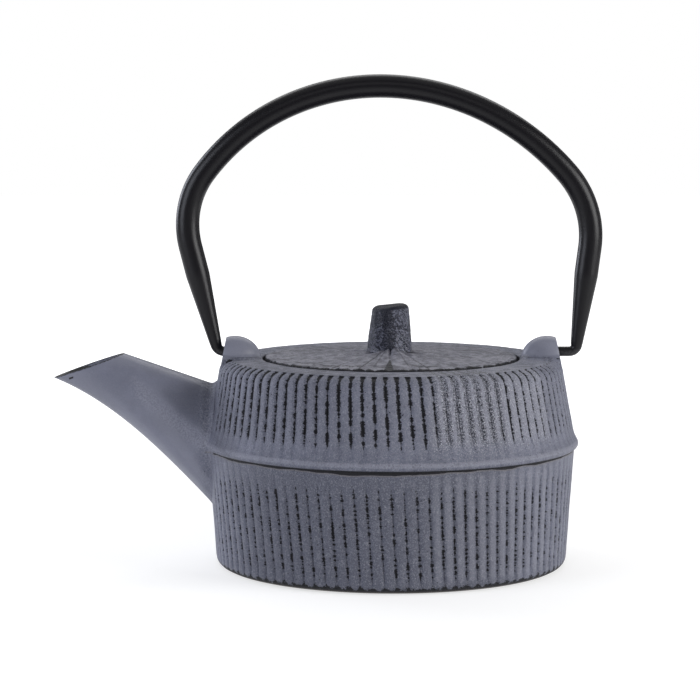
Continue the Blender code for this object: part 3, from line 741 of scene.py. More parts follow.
def rib_strip(rib_count, lean):
    """The strip of wall that one rib covers, groove to groove, before its grooves are cut."""
    across = (-0.5, -0.43, -0.34, -0.18, 0.0, 0.18, 0.34, 0.43, 0.5)
    rows = pot_rows()
    points, faces, fold, depth, shape = [], [], [], [], []
    width = len(across)
    for r, z, cut, power in rows:
        shift = FRONT + (LEAN_HEIGHT - z) * lean * MM
        for part in across:
            angle = shift + part * TAU / rib_count
            points.append((r * math.cos(angle) * MM, r * math.sin(angle) * MM, z * MM))
            fold.append(abs(part) * 2.0)
            depth.append(cut)
            shape.append(power)
    for row in range(len(rows) - 1):
        for column in range(width - 1):
            first = row * width + column
            faces.append((first, first + 1, first + width + 1, first + width))
    mesh = bpy.data.meshes.new("rib_strip")
    mesh.from_pydata(points, [], faces)
    for label, values in (("fold", fold), ("depth", depth), ("shape", shape)):
        mesh.attributes.new(label, "FLOAT", "POINT").data.foreach_set("value", values)
    return mesh


def ribbed_wall(pot, paint):
    """Geometry nodes: one rib strip goes round the axis, then its grooves are cut."""
    g = Recipe("Ribbed wall", {
        "Rib Count": pot.rib_count, "Rib Depth": pot.rib_depth,
        "Unevenness": pot.unevenness, "Seed": 4, "Finish": paint,
    })
    count = g.given("Rib Count")
    spots = g.add("GeometryNodeMeshLine", None, {"Count": count, "Offset": (0.0, 0.0, 0.0)})
    number = g.add("GeometryNodeInputIndex")
    spin = g.add("ShaderNodeCombineXYZ", None, {2: number / count * TAU})
    placed = {"Points": spots, "Instance": g.given(), "Rotation": spin}
    wall = g.add("GeometryNodeInstanceOnPoints", None, placed)
    wall = g.add("GeometryNodeRealizeInstances", None, {0: wall})
    wall = g.add("GeometryNodeMergeByDistance", None, {0: wall, "Distance": 2e-6})

    def stored(label):
        return g.add("GeometryNodeInputNamedAttribute", {"data_type": "FLOAT"}, {"Name": label})

    place = g.add("GeometryNodeInputPosition")
    x = g.add("ShaderNodeSeparateXYZ", None, {0: place})
    y = x.also("Y")
    z = x.also("Z")
    half_width, half_height = CLEARING_HALF_WIDTH * MM, CLEARING_HALF_HEIGHT * MM
    oval = g.math("SQRT", (y / half_width) ** 2.0 + ((z - CLEARING_MIDDLE * MM) / half_height) ** 2.0)
    ribbed = g.larger(g.between(oval, 1.0, 1.2), g.between(x, -0.040, -0.030))
    cut = stored("depth") * stored("fold") ** stored("shape") * ribbed * g.given("Rib Depth") * -1.0
    normal = g.add("GeometryNodeInputNormal")
    wall = g.add("GeometryNodeSetPosition", None, {0: wall, "Offset": g.scaled(normal, cut)})

    drift = g.vector("ADD", place, g.add("ShaderNodeCombineXYZ", None, {0: g.given("Seed") * 1.0}))
    rough = (g.noise(drift, 420.0, 2.0) - 0.5) * 0.5 + (g.noise(drift, 70.0, 2.0) - 0.5) * 1.0
    lift = rough * g.given("Unevenness") * g.between(z, 0.0002, 0.0015)
    wall = g.add("GeometryNodeSetPosition", None, {0: wall, "Offset": g.scaled(normal, lift)})
    return g.grow("pot_body_looks", wall, rib_strip(pot.rib_count, pot.rib_lean))


def wall_radius(z):
    """Outside radius of the pot's wall at heights z."""
    lower = np.clip((z - BASE_ROUNDING) / (LOWER_TOP - BASE_ROUNDING), 0.0, 1.0)
    upper = np.clip((z - UPPER_FOOT) / (UPPER_TOP - UPPER_FOOT), 0.0, 1.0)
    low = BASE_RADIUS + (LOWER_TOP_RADIUS - BASE_RADIUS) * lower
    high = UPPER_FOOT_RADIUS + (SHOULDER_RADIUS - UPPER_FOOT_RADIUS) * upper
    return np.where(z < SEAM_HEIGHT + 1.0, low, high)


def spout_edges(share):
    """Top and under points of the spout's side outline, share 0 at the pot and 1 at the mouth."""
    root_top = Vector(SPOUT_TOP_ROOT)
    root_under = Vector(SPOUT_UNDER_ROOT)
    tip = Vector(SPOUT_TIP)
    mouth_top = tip + Vector((math.cos(MOUTH_TILT), math.sin(MOUTH_TILT))) * MOUTH_LENGTH
    span = (tip - root_under).length
    first = root_under + Vector((-math.cos(UNDER_SLOPE), math.sin(UNDER_SLOPE))) * span * 0.35
    second = tip + Vector((math.cos(TIP_SLOPE), -math.sin(TIP_SLOPE))) * span * 0.33
    rest = 1.0 - share
    under = (
        root_under * rest**3 + first * 3.0 * rest**2 * share
        + second * 3.0 * rest * share**2 + tip * share**3
    )
    return root_top.lerp(mouth_top, share), under


def spout_ring(share, inset, sides, run_out=0.0):
    top, under = spout_edges(share)
    upward = (top - under).normalized()
    middle = (top + under) / 2.0 + Vector((-upward.y, upward.x)) * run_out
    half_height = (top - under).length / 2.0 - inset
    half_width = SPOUT_HALF_WIDTH + (MOUTH_HALF_WIDTH - SPOUT_HALF_WIDTH) * share - inset
    angle = np.arange(sides) * TAU / sides
    across = np.sign(np.sin(angle)) * np.abs(np.sin(angle)) ** 1.05
    up = np.cos(angle) * half_height
    return np.stack([
        middle.x + upward.x * up, half_width * across, middle.y + upward.y * up,
    ], axis=-1), (middle.x, middle.y)


def spout_form(sides=72):
    """The spout's outside with a rounded mouth and a fillet that runs out onto the wall."""
    stretches = ((-0.16, 0.0, 5), (0.0, 0.30, 26), (0.30, 1.0, 30))
    shares = np.concatenate([np.linspace(*stretch)[:-1] for stretch in stretches] + [[1.0]])
    rings = []
    for share in shares:
        ring, middle = spout_ring(share, 0.0, sides)
        away = np.hypot(ring[:, 0], ring[:, 1]) - wall_radius(ring[:, 2])
        near = np.clip(1.0 - away / SPOUT_FILLET, 0.0, 1.0)
        topside = np.clip(0.35 + (ring[:, 2] - middle[1]) / SPOUT_HALF_HEIGHT, 0.12, 1.0)
        grow = SPOUT_FILLET * 0.8 * (1.0 - np.sqrt(1.0 - near**2 * 0.999)) * topside
        out = np.stack([np.zeros(sides), ring[:, 1], ring[:, 2] - middle[1]], axis=-1)
        out[:, 1] /= SPOUT_HALF_WIDTH
        out[:, 2] /= SPOUT_HALF_HEIGHT
        out /= np.linalg.norm(out, axis=1)[:, None]
        rings.append(ring + out * grow[:, None])
    rings[-1] = spout_ring(0.995, 0.0, sides)[0]
    rings.append(spout_ring(0.9992, 0.08, sides)[0])
    rings.append(spout_ring(1.0, 0.28, sides)[0])
    return skin("spout_form", rings, caps=True)


def bore_form(sides=48):
    rings = [spout_ring(share, 2.3, sides)[0] for share in np.linspace(-0.26, 0.96, 26)]
    rings.append(spout_ring(0.99, 1.9, sides)[0])
    rings.append(spout_ring(1.0, 1.5, sides)[0])
    rings.append(spout_ring(1.0, 1.5, sides, 3.0)[0])
    return skin("bore_form", rings, caps=True)


def lug_form(side):
    """Smooth dome on the shoulder whose outer face is flat and leans in."""
    crest, half_width, height = 11.0, 8.0, 10.0
    bottom = POT_TOP - 5.0
    rings = []
    for polar in np.radians(np.linspace(0.0, 90.0, 22)[1:]):
        rings.append((math.sin(polar), POT_TOP - 1.0 + height * math.cos(polar)))
    rings.append((1.0, bottom))
    rings.insert(0, (0.0, POT_TOP - 1.0 + height))
    steps = 48
    angle = np.arange(steps) * TAU / steps
    fillet = 2.4
    grid = []
    for spread, z in rings:
        over = max(z - (POT_TOP - 0.3), 0.0)
        foot = fillet * (1.0 - math.sqrt(1.0 - max(1.0 - over / fillet, 0.0) ** 2 * 0.999)) * 0.8
        grid.append(np.stack([
            54.5 + crest + (crest * spread + foot * (spread > 0.5)) * np.cos(angle),
            (half_width * spread + foot * (spread > 0.5)) * np.sin(angle), np.full(steps, z),
        ], axis=-1))
    form = skin("lug_form", grid)
    bm = bmesh.new()
    bm.from_mesh(form.data)
    bmesh.ops.holes_fill(bm, edges=bm.edges, sides=0)
    bmesh.ops.bisect_plane(
        bm, geom=bm.verts[:] + bm.edges[:] + bm.faces[:], clear_outer=True,
        plane_co=(70.6 * MM, 0.0, POT_TOP * MM), plane_no=(math.cos(LUG_LEAN), 0.0, math.sin(LUG_LEAN)),
    )
    rim = [edge for edge in bm.edges if edge.is_boundary]
    made = bmesh.ops.contextual_create(bm, geom=rim)
    bm.faces.ensure_lookup_table()
    bmesh.ops.bevel(
        bm, geom=list({edge for face in made["faces"] for edge in face.edges}),
        offset=0.7 * MM, segments=3, profile=0.5, affect="EDGES", clamp_overlap=True,
    )
    bmesh.ops.scale(bm, vec=(side, 1.0, 1.0), verts=bm.verts)
    bmesh.ops.recalc_face_normals(bm, faces=bm.faces)
    bm.to_mesh(form.data)
    bm.free()
    return form


def socket_form(side):
    """Round hole for the handle's hook, flared a little at its mouth."""
    steps = 28
    angle = np.arange(steps) * TAU / steps
    face = 70.2
    flare = ((2.5, 0.75), (0.35, 0.55), (-0.3, 0.10), (-1.0, 0.0), (-SOCKET_DEPTH, 0.0))
    rings = []
    for depth, wider in flare:
        radius = SOCKET_RADIUS + wider
        across, up = radius * np.cos(angle), HOOK_HEIGHT + radius * np.sin(angle)
        rings.append(np.stack([np.full(steps, side * (face + depth)), across, up], axis=-1))
    return skin("socket_form", rings, caps=True)


def cavity_form():
    """Inside of the pot, its mouth and the seat, up through the top."""
    floor_radius = BASE_RADIUS - WALL
    seam_radius = LOWER_TOP_RADIUS - WALL
    ceiling = SEAT_HEIGHT - 4.0
    rounding = INNER_ROUNDING
    low_center = FLOOR + rounding
    outline = [(0.0, FLOOR), (30.0, FLOOR)]
    outline += arc(floor_radius - rounding, low_center, rounding, np.linspace(-90, 0, 8))
    outline += line((floor_radius, 12.0), (seam_radius, SEAM_HEIGHT), 5)
    outline += [(seam_radius, SEAM_HEIGHT)]
    outline += arc(SHOULDER_RADIUS - WALL - rounding, ceiling - rounding, rounding, np.linspace(0, 90, 8))
    outline += [(MOUTH_RADIUS + 0.8, ceiling), (MOUTH_RADIUS, ceiling + 0.8)]
    outline += [(MOUTH_RADIUS, SEAT_HEIGHT - 0.5)]
    outline += [(MOUTH_RADIUS + 0.5, SEAT_HEIGHT), (REBATE_RADIUS - 0.4, SEAT_HEIGHT)]
    outline += [(REBATE_RADIUS, SEAT_HEIGHT + 0.4), (REBATE_RADIUS, POT_TOP - 1.1)]
    outline += [(REBATE_RADIUS + 0.25, POT_TOP - 0.35), (REBATE_RADIUS + 0.9, POT_TOP + 0.1)]
    outline += [(REBATE_RADIUS + 0.9, POT_TOP + 12.0), (0.0, POT_TOP + 12.0)]

    def ragged(grid, angle):
        radius = np.hypot(grid[..., 0], grid[..., 1])
        edge = eased(grid[..., 2], POT_TOP - 2.5, POT_TOP - 0.6) * (radius > REBATE_RADIUS - 0.2)
        push = 1.0 + 0.16 * waves(angle, 7, (23, 37, 51, 64, 89)) * edge / REBATE_RADIUS
        return grid * np.stack([push, push, np.ones_like(push)], axis=-1)

    return turned("cavity_form", outline, 288, ragged)


def mark_inside(piece, forms):
    """Faces that lie on any of the inner forms take the second material."""
    trees = []
    for form in forms:
        bm = bmesh.new()
        bm.from_mesh(form)
        trees.append(BVHTree.FromBMesh(bm))
        bm.free()
    inside = []
    for face in piece.data.polygons:
        center = face.center
        found = any(tree.find_nearest(center, 2e-5)[0] is not None for tree in trees)
        inside.append(1 if found and center.z < (SEAT_HEIGHT + 0.2) * MM else 0)
    piece.data.polygons.foreach_set("material_index", inside)


# ---------------------------------------------------------------- handle


def handle_line():
    """Middle line of the right half from the crown to the hook: x, z over the hinge, inward."""
    path = []

    def sweep(center_x, center_z, radius, angles):
        for angle in angles:
            across, up = math.sin(angle), math.cos(angle)
            path.append((center_x + radius * across, center_z + radius * up, -across, -up))

    lean_out, lean_up = math.cos(ARM_SLOPE), math.sin(ARM_SLOPE)
    offset = LUG_FACE + HOOK_REACH - CORNER_RADIUS * lean_out
    drop = HANDLE_HEIGHT - CROWN_RADIUS - CORNER_RADIUS * lean_up
    reach = CROWN_RADIUS - CORNER_RADIUS
    turn = ARM_SLOPE + math.asin((offset + math.tan(ARM_SLOPE) * drop) / reach * lean_out)
    arm_angle = math.pi / 2.0 + ARM_SLOPE
    crown_z = HANDLE_HEIGHT - CROWN_RADIUS
    sweep(0.0, crown_z, CROWN_RADIUS, np.linspace(0.0, turn, 34)[:-1])
    corner = (reach * math.sin(turn), crown_z + reach * math.cos(turn))
    sweep(*corner, CORNER_RADIUS, np.linspace(turn, arm_angle, 22))
    arm_x, arm_z = path[-1][:2]
    for z in np.linspace(arm_z, HOOK_BEND * (1.0 - lean_up), 26)[1:]:
        path.append((arm_x - (arm_z - z) * math.tan(ARM_SLOPE), z, -lean_out, lean_up))
    bend_x = path[-1][0] - HOOK_BEND * lean_out
    sweep(bend_x, HOOK_BEND, HOOK_BEND, np.linspace(arm_angle, math.pi, 9)[1:])
    return path


def tube_radius(height):
    """Outside radius of the handle at a height over the hinge."""
    if height >= ARM_TAPER:
        return HANDLE_RADIUS
    if height >= HOOK_BEND:
        share = (height - HOOK_BEND) / (ARM_TAPER - HOOK_BEND)
        return ARM_FOOT_RADIUS + (HANDLE_RADIUS - ARM_FOOT_RADIUS) * share
    return HOOK_RADIUS + (ARM_FOOT_RADIUS - HOOK_RADIUS) * max(height, 0.0) / HOOK_BEND


def rolled_ring(x, z, inward, radius):
    """Section of the rolled tube, its slit facing the inside of the handle."""
    half_slit = min(0.28, radius * 0.12)
    edge = 0.22
    inner = radius - HANDLE_GAUGE
    start = math.asin(half_slit / radius)
    first = start + edge / radius
    close = math.asin(min(half_slit / inner, 0.9))
    ring = []
    for share in np.linspace(0.0, 1.0, 40):
        angle = first + (TAU - 2.0 * first) * share
        ring.append((radius * math.cos(angle), radius * math.sin(angle)))
    ring.append(((radius - edge) * math.cos(start), -(radius - edge) * math.sin(start)))
    for share in np.linspace(1.0, 0.0, 14):
        angle = close + (TAU - 2.0 * close) * share
        ring.append((inner * math.cos(angle), inner * math.sin(angle)))
    ring.append(((radius - edge) * math.cos(start), (radius - edge) * math.sin(start)))
    ring = np.array(ring)
    across, up = x + inward[0] * ring[:, 0], z + HOOK_HEIGHT + inward[1] * ring[:, 0]
    return np.stack([across, ring[:, 1], up], axis=-1)


# ---------------------------------------------------------------- lid and knob

# Roots that run from the knob's foot: angle from the front, half width, height
ROOTS = (
    (-0.62, 0.14, 0.40), (-0.385, 0.13, 0.80), (-0.15, 0.13, 1.05),
    (0.13, 0.17, 1.25), (0.41, 0.13, 0.7), (0.65, 0.13, 0.35),
    (1.35, 0.2, 0.3), (2.1, 0.22, 0.35), (2.9, 0.2, 0.3), (-1.3, 0.2, 0.3), (-2.2, 0.22, 0.35),
)

# Painted shadow lines between roots: angle, where they start and end, how they widen, how dark
ROOT_SHADOW_LINES = (
    (-0.50, 12.0, 50.0, 0.004, 0.75), (-0.27, 11.0, 51.0, 0.006, 0.90), (-0.03, 31.0, 53.5, 0.085, 0.95),
    (0.29, 11.0, 51.0, 0.006, 0.90), (0.53, 12.0, 49.0, 0.004, 0.7), (0.14, 11.0, 44.0, 0.003, 0.6),
    (-0.16, 11.0, 46.0, 0.003, 0.6),
)


def root_height(angle, radius):
    """Height of the roots that run from the knob's foot over the lid."""
    around = (angle - FRONT + math.pi) % TAU - math.pi
    total = np.zeros_like(radius)
    for place, width, strength in ROOTS:
        away = np.abs((around - place + math.pi) % TAU - math.pi)
        lobe = np.sqrt(np.clip(1.0 - (away / width) ** 2, 0.0, 1.0))
        total = np.maximum(total, lobe * strength)
    fall = eased(radius, 8.2, 9.6) * (1.0 - 0.86 * eased(radius, 10.0, 50.0))
    return total * fall * (1.0 - eased(radius, 47.0, 52.5)) * 2.3


def lid_form():
    top, crown = 4.4, 5.7
    web = crown - 4.1
    radius, rounding = LID_RADIUS, 1.0
    outline = [(2.3, crown)]
    outline += [(r, crown - 0.325 * (r / 26.5) ** 1.3) for r in np.linspace(5.0, 26.5, 20)]
    outline += line((27.8, crown - 0.34), (radius - rounding, top), 24)
    outline += arc(radius - rounding, top - rounding, rounding, [90, 60, 30, 0])
    outline += [(radius, 0.35), (radius - 0.35, 0.0), (44.0, 0.0), (44.0, -5.5), (43.5, -6.0), (41.5, -6.0)]
    outline += [(41.0, -5.5), (41.0, web - 1.2), (39.8, web), (9.4, web), (9.0, web - 0.4)]
    outline += [(9.0, web - 0.8), (2.3, web - 0.8)]

    def cast(grid, angle):
        r = np.hypot(grid[..., 0], grid[..., 1])
        upper = grid[..., 2] > 3.3
        edge = eased(r, 50.0, 53.0) * eased(grid[..., 2], 1.5, 4.0)
        push = 1.0 + 0.13 * waves(angle, 3, (19, 31, 46, 58, 77)) * edge / 53.0
        lift = root_height(angle, r) * upper
        outer = eased(r, 40.0, 52.0) * upper
        lift = lift + 0.28 * waves(angle, 11, (13, 29, 41, 53, 71, 97)) * outer - 0.24 * outer
        lift = lift + 0.05 * waves(angle, 5, (3, 5, 9)) * eased(r, 12.0, 40.0) * upper
        ripple = np.sin(r * 1.9 + 2.0 * np.sin(angle * 3.0)) * upper
        lift = lift + 0.05 * ripple * eased(r, 14.0, 20.0) * (1.0 - eased(r, 48.0, 50.0))
        moved = grid * np.stack([push, push, np.ones_like(push)], axis=-1)
        moved[..., 2] += lift + LID_HEIGHT
        return moved

    return turned("lid_looks", outline, 360, cast, loop=True)


def knob_form():
    foot = 6.0
    height = 20.4
    outline = [(2.3, foot)]
    outline += [(6.0, foot), (9.3, foot), (9.6, foot + 0.35)]
    outline += [(8.9 + 0.7 * (1.0 - s) ** 2.6, foot + 0.35 + 3.4 * s) for s in np.linspace(0.08, 1.0, 12)]
    outline += line((8.87, foot + 4.2), (7.5, foot + height - 2.2), 24)
    outline += arc(7.5 - 2.0, foot + height - 2.2, 2.0, [0, 18, 36, 54, 72, 90])
    outline += [(4.0, foot + height - 0.12), (2.5, foot + height - 0.05)]
    outline += [(1.0, foot + height), (0.0, foot + height)]
    outline += [(0.0, foot + 9.3), (2.3, foot + 9.3)]

    def cast(grid, angle):
        r = np.hypot(grid[..., 0], grid[..., 1])
        z = grid[..., 2]
        around = (angle - FRONT + math.pi) % TAU - math.pi
        outer = r > 3.0
        flutes = 0.22 * np.cos(around * 4.0 + 0.5) + 0.14 * np.sin(around * 7.0 + z * 0.12)
        flutes = flutes + 0.09 * np.sin(around * 13.0 + z * 0.35 + 1.0)
        bumps = 0.07 * np.sin(z * 2.3 + around * 5.0) * np.sin(around * 9.0 - z * 0.7)
        share = (1.0 - eased(z, foot + height - 2.5, foot + height)) * outer * eased(z, foot, foot + 1.0)
        roots = np.zeros_like(r)
        for place, width, strength in ROOTS:
            away = np.abs((around - place * 1.3 + math.pi) % TAU - math.pi)
            roots = np.maximum(roots, np.clip(1.0 - (away / (width * 1.5)) ** 2, 0.0, 1.0) * strength)
        foot_share = (1.0 - eased(z, foot + 0.3, foot + 3.5)) * outer * (r > 8.0)
        push = (flutes + bumps) * share + (roots - 0.5) * 0.9 * foot_share
        push = np.minimum(push, 11.15 - r)
        scale = 1.0 + np.where(outer, push / np.maximum(r, 1.0), 0.0)
        moved = grid * np.stack([scale, scale, np.ones_like(scale)], axis=-1)
        moved[..., 0] -= 0.5 * outer * (1.0 - 0.5 * eased(z, foot + 4.0, foot + height))
        crown = eased(z, foot + height - 6.0, foot + height)
        tilt = moved[..., 0] * 0.085 - 0.62 + 0.10 * np.sin(around * 3.0 + 1.0) * (r > 1.0)
        moved[..., 2] += crown * tilt * (r > 2.4)
        moved[..., 2] += crown * -0.62 * (r <= 2.4) * (z > foot + height - 3.0)
        moved[..., 2] += LID_HEIGHT
        return moved

    return turned("lid_knob_looks", outline, 144, cast, loop=True)


# ---------------------------------------------------------------- basket


def hex_cell(step, hole):
    """One hexagon of sheet about its hole."""
    reach = step / math.sqrt(3.0)
    points, faces = [], []
    for ring in (reach, min(hole / 2.0, reach * 0.85)):
        for corner in range(6):
            angle = math.radians(60.0 * corner + 30.0)
            points.append((ring * math.cos(angle), ring * math.sin(angle), 0.0))
    for corner in range(6):
        after = (corner + 1) % 6
        faces.append((corner, after, 6 + after, 6 + corner))
    mesh = bpy.data.meshes.new("hex_cell")
    mesh.from_pydata(points, [], faces)
    mesh.attributes.new("outline", "FLOAT", "POINT").data.foreach_set("value", [1.0] * 6 + [0.0] * 6)
    return mesh


def set_place(g, sheet, **values):
    """Sets or shifts the sheet's points, then merges the ones that meet."""
    sheet = g.add("GeometryNodeSetPosition", None, {0: sheet, **values})
    return g.add("GeometryNodeMergeByDistance", None, {0: sheet, "Distance": 1e-5})


def cell_points(g, place, rows, rolled):
    """Middles of the cells, every other row shifted by half a step; a flat sheet keeps a disc of them."""
    step = g.given("Column Step")
    points = g.add("GeometryNodeMeshGrid", None, {
        "Size X": (g.given("Columns") - 1) * step, "Size Y": (g.given("Rows") - 1) * g.given("Row Step"),
        "Vertices X": g.given("Columns"), "Vertices Y": g.given("Rows"),
    })
    row = g.add("ShaderNodeSeparateXYZ", None, {0: place}).also("Y") / g.given("Row Step")
    odd = g.math("FLOORED_MODULO", g.math("ROUND", row + (rows - 1) / 2.0), 2.0)
    shift = g.add("ShaderNodeCombineXYZ", None, {0: (odd - 0.5) * step * 0.5})
    points = g.add("GeometryNodeSetPosition", None, {0: points, "Offset": shift})
    if rolled:
        return points
    away = g.vector("LENGTH", place).also("Value")
    settings = {"data_type": "FLOAT", "operation": "GREATER_THAN"}
    over = g.add("FunctionNodeCompare", settings, {0: away, 1: g.given("Radius") - step * 0.75})
    return g.add("GeometryNodeDeleteGeometry", None, {0: points, "Selection": over})


def border_points(g):
    """1 on the outer points of the cells that lie on the sheet's border."""
    outline = g.add("GeometryNodeInputNamedAttribute", {"data_type": "FLOAT"}, {"Name": "outline"})
    sides = g.add("GeometryNodeInputMeshEdgeNeighbors")
    lone = g.add("FunctionNodeCompare", {"data_type": "INT", "operation": "EQUAL"}, {2: sides, 3: 1})
    share = g.add("GeometryNodeSwitch", {"input_type": "FLOAT"}, {0: lone, 1: 0.0, 2: 1.0})
    share = g.add("GeometryNodeFieldOnDomain", {"data_type": "FLOAT", "domain": "POINT"}, {0: share})
    return g.math("GREATER_THAN", share * outline, 0.001)


def pierced_sheet(name, label, basket, steel, wide, high, base, rolled):
    """Geometry nodes: hexagonal cells with a hole each, spread over a sheet that is then thickened.

    A rolled sheet closes on itself round the axis; a flat one is trimmed to a disc.
    """
    columns = max(3, round(wide / basket.hole_pitch))
    step = wide / columns
    row_step = step * math.sqrt(3.0) / 2.0
    rows = int(high / row_step) - 1
    g = Recipe(label, {
        "Columns": columns, "Rows": rows, "Column Step": step, "Row Step": row_step,
        "Thickness": basket.sheet_gauge, "Radius": wide / TAU if rolled else wide / 2.0, "Finish": steel,
    })
    radius = g.given("Radius")
    place = g.add("GeometryNodeInputPosition")
    points = cell_points(g, place, rows, rolled)
    sheet = g.add("GeometryNodeInstanceOnPoints", None, {"Points": points, "Instance": g.given()})
    sheet = g.add("GeometryNodeRealizeInstances", None, {0: sheet})
    sheet = g.add("GeometryNodeMergeByDistance", None, {0: sheet, "Distance": 1e-5})
    chosen = border_points(g)
    if rolled:
        x = g.add("ShaderNodeSeparateXYZ", None, {0: place})
        y = x.also("Y")
        far = g.math("GREATER_THAN", abs(y), high / 2.0 - high * 0.08)
        edge = g.math("SIGN", y) * (high / 2.0)
        snapped = g.add("ShaderNodeCombineXYZ", None, {0: x, 1: edge, 2: 0.0})
        chosen = chosen * far
    else:
        snapped = g.scaled(g.vector("NORMALIZE", place), radius)
    chosen = g.math("GREATER_THAN", chosen, 0.5)
    sheet = set_place(g, sheet, Selection=chosen, Position=snapped)
    if rolled:
        turn = x / radius
        upright = y + (base + high / 2.0)
        around = {0: g.math("COSINE", turn) * radius, 1: g.math("SINE", turn) * radius, 2: upright}
        sheet = set_place(g, sheet, Position=g.add("ShaderNodeCombineXYZ", None, around))
    else:
        lifted = g.add("ShaderNodeCombineXYZ", None, {2: base})
        sheet = g.add("GeometryNodeSetPosition", None, {0: sheet, "Offset": lifted})
    values = {0: sheet, "Offset Scale": g.given("Thickness"), "Individual": False}
    front = g.add("GeometryNodeExtrudeMesh", None, values)
    back = g.add("GeometryNodeFlipFaces", None, {0: sheet})
    joined = g.tree.nodes.new("GeometryNodeJoinGeometry")
    for part in (front, back):
        g.tree.links.new(part.socket, joined.inputs[0])
    values = {0: Link(g, joined.outputs[0]), "Distance": 2e-6}
    whole = g.add("GeometryNodeMergeByDistance", None, values)
    return g.grow(name, whole, hex_cell(step, basket.hole_size))


# ---------------------------------------------------------------- settings


def color_setting(label, what, value):
    return FloatVectorProperty(
        name=label, description=what, default=value, subtype="COLOR", size=3, min=0.0, max=1.0,
    )


def length_setting(label, what, value, low, high):
    return FloatProperty(
        name=label, description=what, default=value, min=low, max=high, unit="LENGTH", precision=5,
    )


def power_setting(label, what, value):
    return FloatProperty(name=label, description="Power of the soft box " + what, default=value, min=0.0)


class PotSettings(bpy.types.PropertyGroup):
    rib_count: IntProperty(name="Rib Count", description="Ribs round the pot", default=96, min=12, max=160)
    rib_depth: length_setting("Rib Depth", "Depth of the grooves between ribs", 0.85 * MM, 0.0, 2.0 * MM)
    rib_lean: FloatProperty(
        name="Rib Lean", description="Turn of the ribs per metre of height", default=0.8, min=-5.0, max=5.0,
    )
    unevenness: length_setting("Unevenness", "How far the casting wanders", 0.34 * MM, 0.0, 1.0 * MM)
    paint: color_setting("Paint", "Slate coat", (0.120, 0.127, 0.173))
    paint_dark: color_setting("Dark Paint", "Slate coat where it lies thin", (0.092, 0.098, 0.136))
    # Colour of the painted glints on the pot's coat.
    painted_glint: color_setting("Bright Paint", "Rubbed flecks that catch the light", (0.36, 0.365, 0.40))
    # Also used for the painted shade at the front and in the spout's fillet.
    paint_deep: color_setting("Deep Paint", "Slate coat rubbed through", (0.068, 0.072, 0.098))
    # Also used for the painted highlights on the right side, the spout's ridge, the lip and the lugs.
    paint_pale: color_setting("Pale Paint", "Slate coat on crests and edges", (0.215, 0.220, 0.265))
    black: color_setting("Black", "Under coat left in grooves", (0.006, 0.006, 0.009))
    thin_edge: color_setting("Thin Edge", "Brownish edge of the coat", (0.15, 0.135, 0.125))


class HandleSettings(bpy.types.PropertyGroup):
    paint: color_setting("Paint", "Satin black of the handle", (0.0030, 0.0026, 0.0040))


class LidSettings(bpy.types.PropertyGroup):
    paint: color_setting("Paint", "Slate coat of the lid", (0.155, 0.155, 0.190))
    paint_dark: color_setting("Dark Paint", "Lid coat where it lies thin", (0.115, 0.116, 0.145))
    paint_deep: color_setting("Deep Paint", "Lid coat rubbed through", (0.070, 0.070, 0.090))
    paint_pale: color_setting("Pale Paint", "Lid coat on grain and edges", (0.260, 0.260, 0.295))
    black: color_setting("Black", "Under coat left at the lid's edge", (0.007, 0.007, 0.010))


class KnobSettings(bpy.types.PropertyGroup):
    dark: color_setting("Dark", "Near-black casting", (0.005, 0.006, 0.014))
    rubbed: color_setting("Rubbed", "Slate rubbed over it", (0.150, 0.156, 0.205))
    pale: color_setting("Pale", "Brightest flecks", (0.40, 0.41, 0.45))


class BasketSettings(bpy.types.PropertyGroup):
    hole_pitch: length_setting("Hole Pitch", "Distance between holes", 2.3 * MM, 1.5 * MM, 6.0 * MM)
    hole_size: length_setting("Hole Size", "Width of each hole", 1.25 * MM, 0.4 * MM, 4.0 * MM)
    sheet_gauge: length_setting("Sheet Gauge", "Thickness of the sheet", 0.5 * MM, 0.2 * MM, 1.0 * MM)


class StageSettings(bpy.types.PropertyGroup):
    floor: color_setting("Floor", "Pale floor", (0.50, 0.50, 0.50))
    ambient: FloatProperty(
        name="Ambient", description="Strength of the even light", default=0.10, min=0.0, max=3.0,
    )
    left: power_setting("Left Box", "on the left", 8.8)
    right: power_setting("Right Box", "on the right", 15.4)
    front: power_setting("Front Box", "above the front", 1.7)
    left_back: power_setting("Left Back Box", "behind the left", 6.5)
    right_back: power_setting("Right Back Box", "behind the right", 0.6)
    top: power_setting("Top Box", "overhead", 2.8)
    top_back: power_setting("Top Back Box", "above the back", 6.7)


# ---------------------------------------------------------------- operators


class TEAPOT_OT_pot(bpy.types.Operator):
    """Ribbed pot with its spout, lugs, seat and cavity"""

    bl_idname = "teapot.pot"
    bl_label = "Pot"

    def execute(self, context):
        settings = context.scene.teapot_pot
        paint = slate_paint(settings)
        pot = ribbed_wall(settings, paint)
        carve(pot, spout_form(), "UNION")
        for side in (1.0, -1.0):
            carve(pot, lug_form(side), "UNION")
            carve(pot, socket_form(side), "DIFFERENCE")
        inner = []
        for form in (cavity_form(), bore_form()):
            inner.append(form.data)
            carve(pot, form, "DIFFERENCE")
        clean(pot.data)
        dress(pot, paint, black_enamel())
        mark_inside(pot, inner)
        smooth(pot, 50.0)
        stand_for(pot, "pot", "slate_paint", "pot_body")
        return {"FINISHED"}


